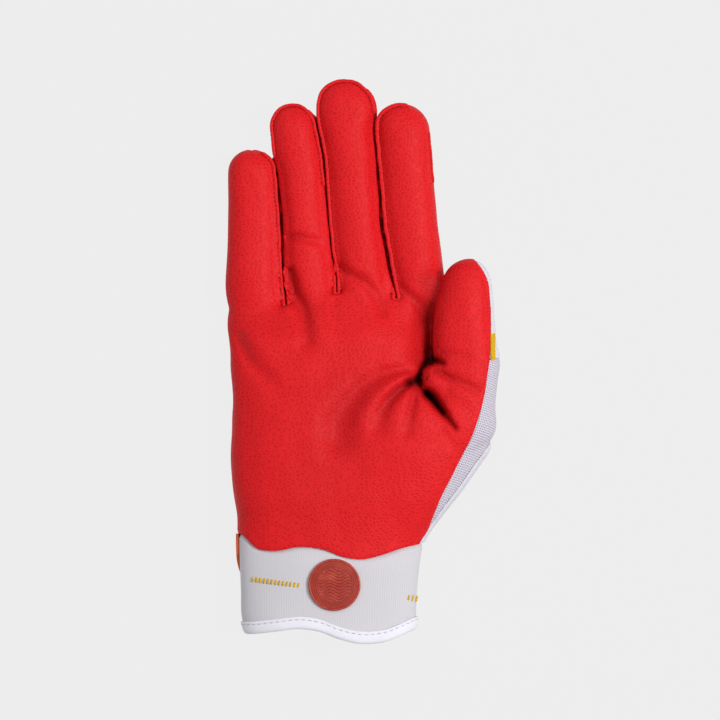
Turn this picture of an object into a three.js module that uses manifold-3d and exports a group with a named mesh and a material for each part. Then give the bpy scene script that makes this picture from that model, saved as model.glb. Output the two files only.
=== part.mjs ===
// A right-hand batting glove, lying on its back with the palm up, its hollow open at the wrist.
//
// Millimetres. +X is the thumb side, +Y points from the wrist to the fingertips and +Z out of the palm.
// A leather palm runs up the front of the fingers and thumb. Three fourchettes are the walls between the
// fingers, a plain back closes the other side, and a mesh gusset lies along the base of the thumb.
// A knitted cuff with a bound hem, a moulded badge and a closing strap make the wrist.
// Each piece is cut from lofted forms by outlines, with a small seam gap between neighbours.

import * as THREE from "three";
import { mergeVertices } from "three/addons/utils/BufferGeometryUtils.js";
import Module from "manifold-3d";

const wasm = await Module();
wasm.setup();

// Sizes of the hand part
const palmWidth = 88; // across the knuckles
const palmHeight = 104; // edge of the leather at the wrist to the crotches of the fingers
const palmDepth = 30; // back of the hand to the heel of the palm
const littleLength = 62; // crotch to fingertip, and so for the next three
const ringLength = 80;
const middleLength = 91;
const indexLength = 81;
const fingerDepth = 20;
const fingertipRise = 4; // how far the fingers curl up towards the palm
const fingerRest = 0.3; // how high the backs of the fingers lie
const fingerRounding = 0.52; // length of a rounded fingertip as a share of its width
const thumbLength = 76; // ball of the thumb to its tip
const thumbWidth = 23;
const thumbDepth = 22;
const thumbDrop = 0.57; // where the thumb starts below the crotches, as a share of the palm's height
const thumbTipDrift = -1; // how far the tip of the thumb leans over as it rounds off

// Sizes of the wrist
const wristWidth = 75;
const cuffHeight = 39; // hem to the edge of the leather
const cuffDepth = 25;
const bindingHeight = 5.2;
const bindingTape = 0.8; // thickness of the tape on each side of the cuff
const badgeDiameter = 21.4;
const badgeThickness = 1.8;
const badgeSink = 2; // how far the disc reaches down before the cuff's own form cuts it
const badgeX = 0.2; // place of its centre
const badgeY = 0.63; // place of its centre, as a share of the cuff's height
const strapHeight = 25;
const strapThickness = 2;
const strapTop = 1.17; // its edge nearest the hand, as a share of the cuff's height
const strapEnd = 0.42; // where it ends on the thumb side, as a share of the wrist's width
const strapTaper = 0.12; // how far it narrows to that end, as a share of its height
const tabTop = 0.62; // how far its tab comes up the other side, as a share of the cuff's depth
const tabTip = 0.25; // how far the tab's far corner comes up
const tabSlope = 0.3; // where the tab starts to slope, as a share of the strap's height

// Walls and seams
const leatherWall = 1.4;
const cuffWall = 2;
const seamGap = 0.3; // between any two pieces
const backSeam = 5; // height of the seam round the back of the hand
const fingerSeam = 13.2; // height of the seam along the front of the fingers
const thumbSeam = 15; // height of the seam under the thumb
const lipWidth = 1.2; // raw edge that stands out of the finger seams
const lipThickness = 1.2;
const lipStart = 4; // how far below the crotches the lips begin
const edgeGap = seamGap * 1.6; // beside the slanting edge of the leather

// Heights along Y that several pieces share
const crotchY = cuffHeight + palmHeight;
const strapRoom = strapThickness + seamGap; // how high the back of the wrist lies, with the strap under it
const beyond = 60; // how far a cutting outline runs past the glove

// Rows of numbers as objects with named columns.
function table(columns, rows) {
  return rows.map((row) => Object.fromEntries(row.map((value, i) => [columns[i], value])));
}

// Sections of the cuff: y as a share of the cuff's height, left and right of the wrist's width,
// top and bottom of the cuff's depth.
const CUFF_SECTIONS = table(
  ["y", "left", "right", "top", "bottom"],
  [
    [-0.3, -0.475, 0.45, 1.0, -0.07],
    [0.08, -0.495, 0.453, 1.0, -0.07],
    [0.26, -0.522, 0.46, 1.0, -0.07],
    [0.55, -0.512, 0.467, 1.01, -0.07],
    [0.85, -0.515, 0.483, 1.03, -0.07],
  ],
);

// Sections of the palm: y as a share of its height, left and right of its width, top and bottom of its depth.
// Lift is the share of the strap's thickness that the back is raised by, tilt is how far the left end
// lies behind the right one, and folds is how much of the palm's folds and pads the section takes.
const PALM_SECTIONS = table(
  ["y", "left", "right", "top", "bottom", "lift", "tilt", "folds"],
  [
    [0.02, -0.454, 0.43, 0.94, -0.08, 1, 0, 1],
    [0.07, -0.455, 0.463, 0.96, -0.08, 1, 0, 1],
    [0.13, -0.458, 0.52, 0.98, -0.08, 0.6, 0, 1],
    [0.2, -0.468, 0.582, 1.0, -0.08, 0, 0, 1],
    [0.27, -0.479, 0.645, 1.0, -0.08, 0, 0, 1],
    [0.34, -0.485, 0.7, 1.0, -0.08, 0, 0, 1],
    [0.41, -0.485, 0.748, 1.0, -0.08, 0, 0, 1],
    [0.47, -0.482, 0.73, 0.99, -0.08, 0, 0, 1],
    [0.53, -0.479, 0.7, 0.98, -0.08, 0, 0, 1],
    [0.58, -0.476, 0.655, 0.96, -0.08, 0, 0, 1],
    [0.63, -0.477, 0.605, 0.94, -0.08, 0, 0, 1],
    [0.68, -0.481, 0.55, 0.91, -0.08, 0, 0, 1],
    [0.73, -0.487, 0.506, 0.88, -0.08, 0, 0, 1],
    [0.79, -0.492, 0.498, 0.84, -0.08, 0, 0, 1],
    [0.85, -0.497, 0.502, 0.8, -0.08, 0, 0, 1],
    [0.91, -0.502, 0.506, 0.74, -0.06, 0, 0.01, 1],
    [0.96, -0.503, 0.508, 0.68, -0.02, 0, 0.02, 0.6],
    [1.0, -0.503, 0.508, 0.57, 0.1, 0, 0.03, 0.2],
    [1.02, -0.495, 0.5, 0.44, 0.19, 0, 0.03, 0],
  ],
);

// Fingers: centre line at the crotch and at the tip, and widths there, as shares of the palm's width.
const FINGERS = table(
  ["name", "length", "baseX", "tipX", "baseWidth", "tipWidth", "depth"],
  [
    ["little", littleLength, -0.376, -0.39, 0.256, 0.217, 0.9],
    ["ring", ringLength, -0.117, -0.186, 0.236, 0.232, 0.97],
    ["middle", middleLength, 0.135, 0.049, 0.252, 0.262, 1.0],
    ["index", indexLength, 0.392, 0.316, 0.254, 0.252, 1.0],
  ],
);

// A finger's own sections: y as a share of its length up to where the tip starts to round off,
// and width and depth as shares of the finger's own.
const FINGER_SECTIONS = table(
  ["y", "width", "depth"],
  [
    [-0.2, 0.8, 0.7],
    [-0.04, 1.0, 0.98],
    [0.5, 1.0, 1.0],
    [1.0, 1.0, 0.94],
  ],
);

// Thumb: y as a share of its length, x of the palm's width, width and depth of the thumb's own,
// and the height of its centre as a share of the palm's depth.
const THUMB_SECTIONS = table(
  ["y", "x", "width", "depth", "z"],
  [
    [-0.12, 0.51, 0.9, 0.9, 0.46],
    [0.02, 0.59, 1.25, 1.1, 0.5],
    [0.2, 0.617, 1.14, 1.14, 0.53],
    [0.34, 0.626, 1.165, 1.13, 0.54],
    [0.44, 0.63, 1.21, 1.13, 0.545],
    [0.55, 0.617, 1.157, 1.06, 0.57],
    [0.684, 0.616, 1.1, 1.02, 0.58],
    [0.788, 0.619, 1.03, 0.98, 0.59],
    [0.838, 0.623, 0.95, 0.94, 0.59],
  ],
);

// Broad pads and hollows of the palm: centre as shares of the palm's width and height,
// radii as shares of its width, and height as a share of its depth.
const PADS = table(
  ["x", "y", "radiusX", "radiusY", "height"],
  [
    [0.47, 0.4, 0.2, 0.3, 0.09],
    [-0.3, 0.36, 0.18, 0.34, 0.05],
    [0.07, 0.56, 0.22, 0.24, -0.11],
    [-0.34, 0.84, 0.1, 0.1, 0.03],
    [-0.1, 0.86, 0.1, 0.1, 0.03],
    [0.14, 0.87, 0.1, 0.1, 0.03],
    [0.36, 0.82, 0.1, 0.12, 0.03],
  ],
);

// Folds of the leather: ends as shares of the palm's width and height,
// reach to each side as a share of its width, and depth as a share of its depth.
const FOLDS = table(
  ["name", "fromX", "fromY", "toX", "toY", "reach", "depth"],
  [
    ["thumb web", 0.47, 0.79, 0.38, 0.66, 0.055, 0.14],
    ["palm crease", 0.38, 0.66, 0.24, 0.59, 0.06, 0.1],
    ["end of palm crease", 0.24, 0.59, 0.05, 0.49, 0.08, 0.05],
    ["ball of thumb", 0.43, 0.64, 0.58, 0.47, 0.05, 0.13],
    ["heel", 0.37, 0.64, 0.325, 0.455, 0.055, 0.05],
    ["thumb joint", 0.47, 0.7, 0.637, 0.646, 0.045, 0.05],
    ["little crotch", -0.23, 0.97, -0.146, 0.78, 0.055, 0.08],
    ["ring crotch", 0.01, 1.0, 0.066, 0.84, 0.055, 0.06],
    ["index crotch", 0.29, 0.99, 0.453, 0.84, 0.045, 0.08],
    ["outer palm", -0.42, 0.736, -0.23, 0.57, 0.07, 0.04],
  ],
);

// Wavy edges of the cuff: x as a share of the wrist's width, and y as a share of the cuff's height,
// counted from the hem's lowest point and from the leather's edge.
const HEM_WAVE = table(
  ["x", "y"],
  [
    [-0.6, 0.1],
    [-0.46, 0.1],
    [-0.32, 0.13],
    [-0.19, 0.16],
    [-0.08, 0.13],
    [0.03, 0.05],
    [0.16, 0.0],
    [0.28, 0.02],
    [0.46, 0.15],
    [0.6, 0.2],
  ],
);
const LEATHER_WAVE = table(
  ["x", "y"],
  [
    [-0.6, 0.17],
    [-0.52, 0.16],
    [-0.43, 0.02],
    [-0.32, -0.01],
    [-0.19, 0.03],
    [-0.05, 0.0],
    [0.06, -0.08],
    [0.16, -0.1],
    [0.26, -0.06],
    [0.37, 0.01],
    [0.5, 0.06],
    [0.62, 0.08],
  ],
);

// The badge's face from its edge inwards: radius as a share of its own, height of its thickness.
const BADGE_PROFILE = table(
  ["radius", "height"],
  [
    [1.0, 0.85],
    [0.95, 1.0],
    [0.87, 1.0],
    [0.83, 0.75],
    [0.74, 0.75],
    [0.71, 0.95],
    [0.66, 0.75],
    [0.0, 0.75],
  ],
);

// Edge of the leather on the thumb side: x as a share of the palm's width, y of its height.
const THUMB_EDGE = table(
  ["x", "y"],
  [
    [0.4, -0.05],
    [0.45, 0.08],
    [0.56, 0.3],
    [0.62, 0.41],
    [0.67, 0.51],
    [0.7, 0.6],
    [0.725, 0.7],
    [0.737, 0.8],
    [0.741, 0.98],
    [0.736, 1.06],
    [0.71, 1.125],
    [0.67, 1.17],
    [0.66, 1.5],
  ],
);
const gussetTop = 0.763; // where the mesh ends under the thumb, as a share of the palm's height
const gussetSeam = 2; // height of the seam between the mesh and the back
const fourchetteDrop = 0.11; // how far the fourchettes reach below the crotches, as a share of its height
const thumbInside = 0.526; // where the back of the thumb starts, as a share of the palm's width

// Columns of the lofts
const FRONT_COLUMNS = 18;
const BACK_COLUMNS = 8;
const FINGER_COLUMNS = 14;
const TIP_ROWS = 4;
const BADGE_SIDES = 18;
const THUMB_FRONT_COLUMNS = 10;
const WAVE_STEPS = 13; // straight steps along a wavy edge
const SQUARENESS = 2.35; // exponent of a section's superellipse
const CROWDING = 0.55; // how strongly the columns crowd towards a section's sides
const WIDEST = 0.45; // how far up its height a section is widest
const FOLD_START = 1.6; // how soon a fold reaches its full depth above the widest line
const TIP_END = 0.98; // how far round its quarter turn a tip is drawn before it closes
const FINGERTIP_ROUNDNESS = 2.1; // exponent of the outline of a fingertip

// Share of the way up that a superellipse has at a share of its half-width.
function dome(share) {
  return Math.pow(Math.max(0, 1 - Math.pow(Math.abs(share), SQUARENESS)), 1 / SQUARENESS);
}

// How far the palm's pads and folds raise the leather at a point.
function relief(x, y) {
  const shareX = x / palmWidth;
  const shareY = (y - cuffHeight) / palmHeight;
  const aspect = palmHeight / palmWidth;
  let height = 0;
  for (const pad of PADS) {
    const away = Math.hypot((shareX - pad.x) / pad.radiusX, ((shareY - pad.y) * aspect) / pad.radiusY);
    height += pad.height * Math.exp(-away * away);
  }
  for (const fold of FOLDS) {
    const runX = fold.toX - fold.fromX;
    const runY = (fold.toY - fold.fromY) * aspect;
    const offX = shareX - fold.fromX;
    const offY = (shareY - fold.fromY) * aspect;
    const along = (offX * runX + offY * runY) / (runX * runX + runY * runY);
    const nearest = Math.min(1, Math.max(0, along));
    const away = Math.hypot(offX - nearest * runX, offY - nearest * runY) / fold.reach;
    height -= fold.depth * Math.exp(-away * away);
  }
  return height * palmDepth;
}

// One section of a loft: a superellipse round {x, y, z, left, right, up, down}, front columns first.
// Grow moves its outline outwards, or inwards where it is negative. The section is flattened at its rest,
// the height of the surface that it lies on.
function section(shape, frontColumns, backColumns, grow) {
  const left = shape.left + grow;
  const right = shape.right + grow;
  const up = shape.up + grow;
  const down = shape.down + grow;
  const ring = [];
  const point = (share, height) => {
    const x = shape.x + (share < 0 ? share * left : share * right);
    const y = shape.y - (shape.tilt * (1 - share)) / 2;
    const lift = height > 0 ? relief(x, y) * shape.folds * Math.min(1, height * FOLD_START) : 0;
    const z = shape.z + height * (height > 0 ? up : down) + lift;
    ring.push(new THREE.Vector3(x, y, Math.max(z, shape.rest - grow)));
  };
  // Columns crowd towards the sides, where the outline is steep.
  const spread = (step) => (1 - CROWDING) * step + CROWDING * Math.sin((step * Math.PI) / 2);
  for (let i = 0; i < frontColumns; i++) {
    const share = spread(1 - (2 * i) / frontColumns);
    point(share, dome(share));
  }
  for (let i = 0; i < backColumns; i++) {
    const share = spread((2 * i) / backColumns - 1);
    point(share, -dome(share));
  }
  return ring;
}

// A closed solid through sections of equally many points, ordered along +Y.
function loft(rings) {
  const columns = rings[0].length;
  const positions = [];
  const triangle = (a, b, c) => positions.push(...a, ...b, ...c);
  const middleOf = (ring) =>
    ring.reduce((sum, p) => sum.add(p), new THREE.Vector3()).divideScalar(columns);
  for (let row = 0; row + 1 < rings.length; row++)
    for (let i = 0; i < columns; i++) {
      const next = (i + 1) % columns;
      triangle(rings[row][i], rings[row + 1][i], rings[row + 1][next]);
      triangle(rings[row][i], rings[row + 1][next], rings[row][next]);
    }
  const start = middleOf(rings[0]);
  const last = rings[rings.length - 1];
  const end = middleOf(last);
  for (let i = 0; i < columns; i++) {
    const next = (i + 1) % columns;
    triangle(start, rings[0][i], rings[0][next]);
    triangle(end, last[next], last[i]);
  }
  const geometry = new THREE.BufferGeometry();
  geometry.setAttribute("position", new THREE.Float32BufferAttribute(positions, 3));
  return solidOf(geometry);
}

// A three.js geometry as a solid that can be joined and cut.
function solidOf(geometry) {
  const bare = geometry.index ? geometry.toNonIndexed() : geometry.clone();
  bare.deleteAttribute("normal");
  bare.deleteAttribute("uv");
  const merged = mergeVertices(bare, 1e-4);
  return new wasm.Manifold(
    new wasm.Mesh({
      numProp: 3,
      vertProperties: new Float32Array(merged.attributes.position.array),
      triVerts: new Uint32Array(merged.index.array),
    }),
  );
}

// A cutting block: an outline of {x, y} points raised from one height to another.
function block(outline, low, high) {
  const shape = new THREE.Shape(outline.map((p) => new THREE.Vector2(p.x, p.y)));
  const raised = new THREE.ExtrudeGeometry(shape, { depth: high - low, bevelEnabled: false });
  return solidOf(raised.translate(0, 0, low));
}

function unite(solids) {
  return solids.reduce((joined, solid) => joined.add(solid));
}

// Lofted forms. Each takes grow, so that an inner form is the same one moved in by its wall.

function cuffShapes() {
  return CUFF_SECTIONS.map((row) => {
    const middle = ((row.left + row.right) / 2) * wristWidth;
    const half = ((row.right - row.left) / 2) * wristWidth;
    const height = cuffDepth * (row.top - row.bottom);
    return {
      x: middle,
      y: row.y * cuffHeight,
      z: strapRoom + cuffDepth * row.bottom + height / 2,
      left: half,
      right: half,
      up: height / 2,
      down: height / 2,
      rest: strapRoom,
      tilt: 0,
      folds: 1,
    };
  });
}

function palmShapes() {
  return PALM_SECTIONS.map((row) => {
    const middle = ((row.left + row.right) / 2) * palmWidth;
    const half = ((row.right - row.left) / 2) * palmWidth;
    const bottom = palmDepth * row.bottom + strapRoom * row.lift;
    const height = palmDepth * row.top - bottom;
    return {
      x: middle,
      y: cuffHeight + row.y * palmHeight,
      z: bottom + height * WIDEST,
      left: half,
      right: half,
      up: height * (1 - WIDEST),
      down: height * WIDEST,
      rest: strapRoom * row.lift,
      tilt: row.tilt * palmHeight,
      folds: row.folds,
    };
  });
}

// The hand from below the hem to the crotches. An inner form stops short at the crotches by its wall.
function handForm(grow) {
  const shapes = [...cuffShapes(), ...palmShapes()];
  const last = shapes[shapes.length - 1];
  const shifted = shapes.map((shape) =>
    shape.y > crotchY - 2 * leatherWall ? { ...shape, y: shape.y + Math.min(0, grow) } : shape,
  );
  if (grow < 0) shifted[shifted.length - 1] = { ...last, y: last.y + grow };
  return loft(shifted.map((shape) => section(shape, FRONT_COLUMNS, BACK_COLUMNS, grow)));
}

// The wrist alone, for the pieces of the cuff.
function wristForm(grow) {
  const shapes = [...cuffShapes(), ...palmShapes().slice(0, 3)];
  return loft(shapes.map((shape) => section(shape, FRONT_COLUMNS, BACK_COLUMNS, grow)));
}

// Sections that round off the end of a finger, from the section where the rounding starts.
function tipShapes(shape, length, drift, grow, roundness) {
  const rows = [];
  for (let i = 1; i <= TIP_ROWS; i++) {
    const share = Math.sin((i / TIP_ROWS) * TIP_END * (Math.PI / 2));
    const left = Math.pow(1 - Math.pow(share, roundness), 1 / roundness);
    const y = shape.y + share * (length + grow);
    rows.push({
      ...shape,
      x: shape.x + drift * share,
      y,
      left: (shape.left + grow) * left - grow,
      right: (shape.right + grow) * left - grow,
      up: (shape.up + grow) * left - grow,
      down: (shape.down + grow) * left - grow,
    });
  }
  return rows;
}

// Extra is added to the width alone, for the lip along a seam.
function fingerForm(finger, grow, extra = 0) {
  const baseWidth = finger.baseWidth * palmWidth;
  const tipWidth = finger.tipWidth * palmWidth;
  const depth = finger.depth * fingerDepth;
  const roundLength = tipWidth * fingerRounding;
  const straight = finger.length - roundLength;
  const shapes = FINGER_SECTIONS.map((row) => {
    const share = Math.max(0, row.y * (straight / finger.length));
    const width = row.width * THREE.MathUtils.lerp(baseWidth, tipWidth, share);
    const half = width / 2 + extra;
    const x = THREE.MathUtils.lerp(finger.baseX, finger.tipX, share) * palmWidth;
    const z = depth * WIDEST + fingertipRise * share * share;
    const flat = (row.depth * depth) / 2;
    return {
      x,
      y: crotchY + row.y * straight,
      z,
      left: half,
      right: half,
      up: flat,
      down: flat,
      rest: fingerRest,
      tilt: 0,
      folds: 1,
    };
  });
  const last = shapes[shapes.length - 1];
  const drift = (finger.tipX - finger.baseX) * palmWidth * (roundLength / finger.length);
  shapes.push(...tipShapes(last, roundLength + extra, drift, grow, FINGERTIP_ROUNDNESS));
  return loft(shapes.map((shape) => section(shape, FINGER_COLUMNS / 2, FINGER_COLUMNS / 2, grow)));
}

function thumbForm(grow) {
  const base = crotchY - thumbDrop * palmHeight;
  const shapes = THUMB_SECTIONS.map((row) => ({
    x: row.x * palmWidth,
    y: base + row.y * thumbLength,
    z: row.z * palmDepth,
    left: (row.width * thumbWidth) / 2,
    right: (row.width * thumbWidth) / 2,
    up: (row.depth * thumbDepth) / 2,
    down: (row.depth * thumbDepth) / 2,
    rest: 0,
    tilt: 0,
    folds: 1,
  }));
  const last = shapes[shapes.length - 1];
  const roundLength = base + thumbLength - last.y;
  shapes.push(...tipShapes(last, roundLength, thumbTipDrift, grow, SQUARENESS));
  return loft(shapes.map((shape) => section(shape, THUMB_FRONT_COLUMNS, FINGER_COLUMNS / 2, grow)));
}

// Outlines that cut the forms into panels.

// A smooth line through a wave's points, moved along Y.
function waveLine(wave, origin, shift) {
  const points = wave.map((p) => new THREE.Vector2(p.x * wristWidth, origin + p.y * cuffHeight + shift));
  return new THREE.SplineCurve(points).getPoints(WAVE_STEPS);
}

// Everything between two wavy lines, or beyond one of them.
function betweenWaves(lower, upper) {
  const far = beyond + palmWidth;
  const extend = (line) => [
    new THREE.Vector2(-far, line[0].y),
    ...line,
    new THREE.Vector2(far, line[line.length - 1].y),
  ];
  return block([...extend(lower), ...extend(upper).reverse()], -beyond, beyond * 2);
}

function levelLine(y) {
  return [new THREE.Vector2(-palmWidth, y), new THREE.Vector2(palmWidth, y)];
}

// The leather's edge on the thumb side, moved along X.
function thumbEdgeLine(shift) {
  const points = THUMB_EDGE.map(
    (p) => new THREE.Vector2(p.x * palmWidth + shift, cuffHeight + p.y * palmHeight),
  );
  return new THREE.SplineCurve(points).getPoints(WAVE_STEPS);
}

// All that lies inwards of the thumb edge, above a height.
function inwardsOfThumbEdge(shift, low) {
  const far = crotchY + beyond * 3;
  const edge = thumbEdgeLine(shift);
  const first = edge[0];
  const last = edge[edge.length - 1];
  return block(
    [
      new THREE.Vector2(-beyond - palmWidth, -beyond),
      new THREE.Vector2(first.x, -beyond),
      ...edge,
      new THREE.Vector2(last.x, far),
      new THREE.Vector2(-beyond - palmWidth, far),
    ],
    low,
    beyond * 2,
  );
}

// All that lies round the thumb above the mesh, up to a height.
function roundThumb(gap, high) {
  const inner = thumbInside * palmWidth + gap;
  const start = cuffHeight + gussetTop * palmHeight + gap;
  const far = crotchY + beyond;
  return block(
    [
      new THREE.Vector2(inner, start),
      new THREE.Vector2(palmWidth + beyond, start),
      new THREE.Vector2(palmWidth + beyond, far),
      new THREE.Vector2(inner, far),
    ],
    -beyond,
    high,
  );
}

// The walls between two neighbouring fingers, from the centre line of one to that of the other.
function betweenFingers(one, other, gap) {
  const low = crotchY - fourchetteDrop * palmHeight - gap;
  const lineOf = (finger, y) => {
    const share = (y - crotchY) / finger.length;
    return THREE.MathUtils.lerp(finger.baseX, finger.tipX, share) * palmWidth;
  };
  const high = crotchY + Math.max(one.length, other.length) + beyond;
  const side = seamGap / 2 - gap;
  return block(
    [
      new THREE.Vector2(lineOf(one, low) + side, low),
      new THREE.Vector2(lineOf(other, low) - side, low),
      new THREE.Vector2(lineOf(other, high) - side, high),
      new THREE.Vector2(lineOf(one, high) + side, high),
    ],
    backSeam - gap,
    fingerSeam + gap,
  );
}

// The thumb side between the cuff and the thumb, above the seam to the back.
function gussetBlock(gap) {
  const edge = thumbEdgeLine(edgeGap - gap);
  const last = edge[edge.length - 1];
  const far = crotchY + beyond * 3;
  const outwards = block(
    [
      new THREE.Vector2(edge[0].x, -beyond),
      new THREE.Vector2(palmWidth + beyond, -beyond),
      new THREE.Vector2(palmWidth + beyond, far),
      new THREE.Vector2(last.x, far),
      ...edge.reverse(),
    ],
    gussetSeam - gap,
    beyond * 2,
  );
  const top = cuffHeight + gussetTop * palmHeight - seamGap + gap;
  return outwards.intersect(betweenWaves(levelLine(-beyond), levelLine(top)));
}

// The raw edges that stand out along the front seams of the fingers.
function fingerLips() {
  const slab = block(
    [
      new THREE.Vector2(-palmWidth, crotchY - lipStart),
      new THREE.Vector2(palmWidth, crotchY - lipStart),
      new THREE.Vector2(palmWidth, crotchY + middleLength + beyond),
      new THREE.Vector2(-palmWidth, crotchY + middleLength + beyond),
    ],
    fingerSeam + seamGap,
    fingerSeam + seamGap + lipThickness,
  );
  return FINGERS.map((finger) => fingerForm(finger, 0, lipWidth).intersect(slab));
}

// Pieces

const outerForm = unite([handForm(0), ...FINGERS.map((f) => fingerForm(f, 0)), thumbForm(0)]);
const innerForm = unite([
  handForm(-leatherWall),
  ...FINGERS.map((f) => fingerForm(f, -leatherWall)),
  thumbForm(-leatherWall),
]);
const aboveCuff = betweenWaves(waveLine(LEATHER_WAVE, cuffHeight, 0), levelLine(crotchY + beyond * 3));
const shell = unite([outerForm, ...fingerLips()]).subtract(innerForm).intersect(aboveCuff);
const neighbours = [0, 1, 2].map((i) => [FINGERS[i], FINGERS[i + 1]]);

function palmLeather() {
  const gaps = neighbours.map(([one, other]) => betweenFingers(one, other, seamGap));
  const front = inwardsOfThumbEdge(0, backSeam).subtract(roundThumb(0, thumbSeam));
  return shell.intersect(front.subtract(unite(gaps)));
}

function fourchette([one, other]) {
  return shell.intersect(betweenFingers(one, other, 0));
}

function thumbGusset() {
  return shell.intersect(gussetBlock(0));
}

function thumbBack() {
  const side = roundThumb(seamGap, beyond).subtract(inwardsOfThumbEdge(seamGap, thumbSeam - seamGap));
  return shell.intersect(side);
}

function backPanel() {
  const gaps = neighbours.map(([one, other]) => betweenFingers(one, other, seamGap));
  const front = inwardsOfThumbEdge(edgeGap, backSeam - seamGap);
  return shell.subtract(unite([front, roundThumb(0, beyond), gussetBlock(seamGap), ...gaps]));
}

const hemRise = bindingTape + seamGap; // the cuff ends this far above the hem, inside the fold of its tape

function cuff() {
  const low = waveLine(HEM_WAVE, 0, hemRise);
  const high = waveLine(LEATHER_WAVE, cuffHeight, -seamGap);
  return wristForm(0).subtract(wristForm(-cuffWall)).intersect(betweenWaves(low, high));
}

function hemBinding() {
  const tape = seamGap + bindingTape;
  const hem = waveLine(HEM_WAVE, 0, 0);
  const band = wristForm(tape).subtract(wristForm(-cuffWall - tape));
  const slot = wristForm(seamGap).subtract(wristForm(-cuffWall - seamGap));
  return band
    .intersect(betweenWaves(hem, waveLine(HEM_WAVE, 0, bindingHeight)))
    .subtract(slot.intersect(betweenWaves(waveLine(HEM_WAVE, 0, bindingTape), levelLine(crotchY))));
}

// A disc with a raised rim and a ridge, laid on the front of the cuff.
function badge() {
  const radius = badgeDiameter / 2;
  const profile = [new THREE.Vector2(0, -badgeSink), new THREE.Vector2(radius, -badgeSink)];
  for (const row of BADGE_PROFILE)
    profile.push(new THREE.Vector2(row.radius * radius, row.height * badgeThickness));
  const disc = new THREE.LatheGeometry(profile, BADGE_SIDES).rotateX(Math.PI / 2);
  const placed = disc.translate(badgeX, badgeY * cuffHeight, strapRoom + cuffDepth);
  return solidOf(placed).subtract(wristForm(seamGap));
}

// A band across the back of the wrist, its tapered tab round the edge of the cuff.
function wristStrap() {
  const band = wristForm(seamGap + strapThickness).subtract(wristForm(seamGap));
  const top = cuffHeight * strapTop;
  const bottom = top - strapHeight;
  const left = -wristWidth / 2 - strapThickness * 3;
  const end = wristWidth * strapEnd;
  const outline = new THREE.Shape();
  outline.moveTo(end, bottom);
  outline.lineTo(end, top - strapHeight * strapTaper);
  outline.lineTo(left, top);
  outline.lineTo(left, bottom);
  const across = block(outline.getPoints(), -beyond, cuffDepth);
  // Seen from the side, the tab is highest near the hand and tapers towards the hem.
  const highest = cuffDepth * tabTop;
  const side = new THREE.Shape();
  side.moveTo(bottom - strapThickness, -beyond);
  side.lineTo(top + strapThickness, -beyond);
  side.lineTo(top + strapThickness, highest);
  side.lineTo(top - strapHeight * tabSlope, highest);
  side.lineTo(bottom - strapThickness, cuffDepth * tabTip);
  const wrap = new THREE.ExtrudeGeometry(side, { depth: 2 * palmWidth, bevelEnabled: false });
  wrap.rotateX(Math.PI / 2).rotateZ(Math.PI / 2).translate(-palmWidth, 0, 0);
  return band.intersect(across).intersect(solidOf(wrap));
}

// Materials
const leatherRed = new THREE.MeshStandardMaterial({ color: 0xd8232a, roughness: 0.62, metalness: 0 });
const backWhite = new THREE.MeshStandardMaterial({ color: 0xe9e8ec, roughness: 0.55, metalness: 0 });
const meshWhite = new THREE.MeshStandardMaterial({ color: 0xd9d6de, roughness: 0.85, metalness: 0 });
const knitGrey = new THREE.MeshStandardMaterial({ color: 0xd3d1d6, roughness: 0.9, metalness: 0 });
const tapeWhite = new THREE.MeshStandardMaterial({ color: 0xeeedf3, roughness: 0.8, metalness: 0 });
const rubberRed = new THREE.MeshStandardMaterial({ color: 0xb03020, roughness: 0.45, metalness: 0 });
const strapOrange = new THREE.MeshStandardMaterial({ color: 0xd9582b, roughness: 0.7, metalness: 0 });

function addPiece(group, name, solid, material) {
  const made = solid.getMesh();
  const positions = new Float32Array(made.numVert * 3);
  for (let i = 0; i < made.numVert; i++)
    positions.set(made.vertProperties.subarray(i * made.numProp, i * made.numProp + 3), i * 3);
  const geometry = new THREE.BufferGeometry();
  geometry.setAttribute("position", new THREE.BufferAttribute(positions, 3));
  geometry.setIndex(new THREE.BufferAttribute(made.triVerts, 1));
  const mesh = new THREE.Mesh(geometry, material);
  mesh.name = name;
  group.add(mesh);
}

const glove = new THREE.Group();
addPiece(glove, "palm_leather", palmLeather(), leatherRed);
neighbours.forEach((pair) =>
  addPiece(glove, `fourchette_${pair[0].name}_${pair[1].name}`, fourchette(pair), leatherRed),
);
addPiece(glove, "back_panel", backPanel(), backWhite);
addPiece(glove, "thumb_back", thumbBack(), backWhite);
addPiece(glove, "thumb_gusset", thumbGusset(), meshWhite);
addPiece(glove, "cuff", cuff(), knitGrey);
addPiece(glove, "hem_binding", hemBinding(), tapeWhite);
addPiece(glove, "cuff_badge", badge(), rubberRed);
addPiece(glove, "wrist_strap", wristStrap(), strapOrange);

// The origin lies under the middle of the glove, on the surface that it rests on.
const bounds = new THREE.Box3().setFromObject(glove);
const centre = bounds.getCenter(new THREE.Vector3());
glove.position.set(-centre.x, -centre.y, -bounds.min.z);

export default glove;
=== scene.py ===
"""Looks of a right-hand batting glove that lies on its back with the palm up.

The glove's own millimetres run from the hem of the cuff (y = 0) to the fingertips, with x = 0 near the
middle of the wrist and z = 0 on the floor. `Bench` moves them into the frame, which is in metres.
"""

import logging
import math
from collections.abc import Sequence
from dataclasses import dataclass, field
from enum import Enum

import bpy
import numpy as np
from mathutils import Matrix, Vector
from mathutils.bvhtree import BVHTree


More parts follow.
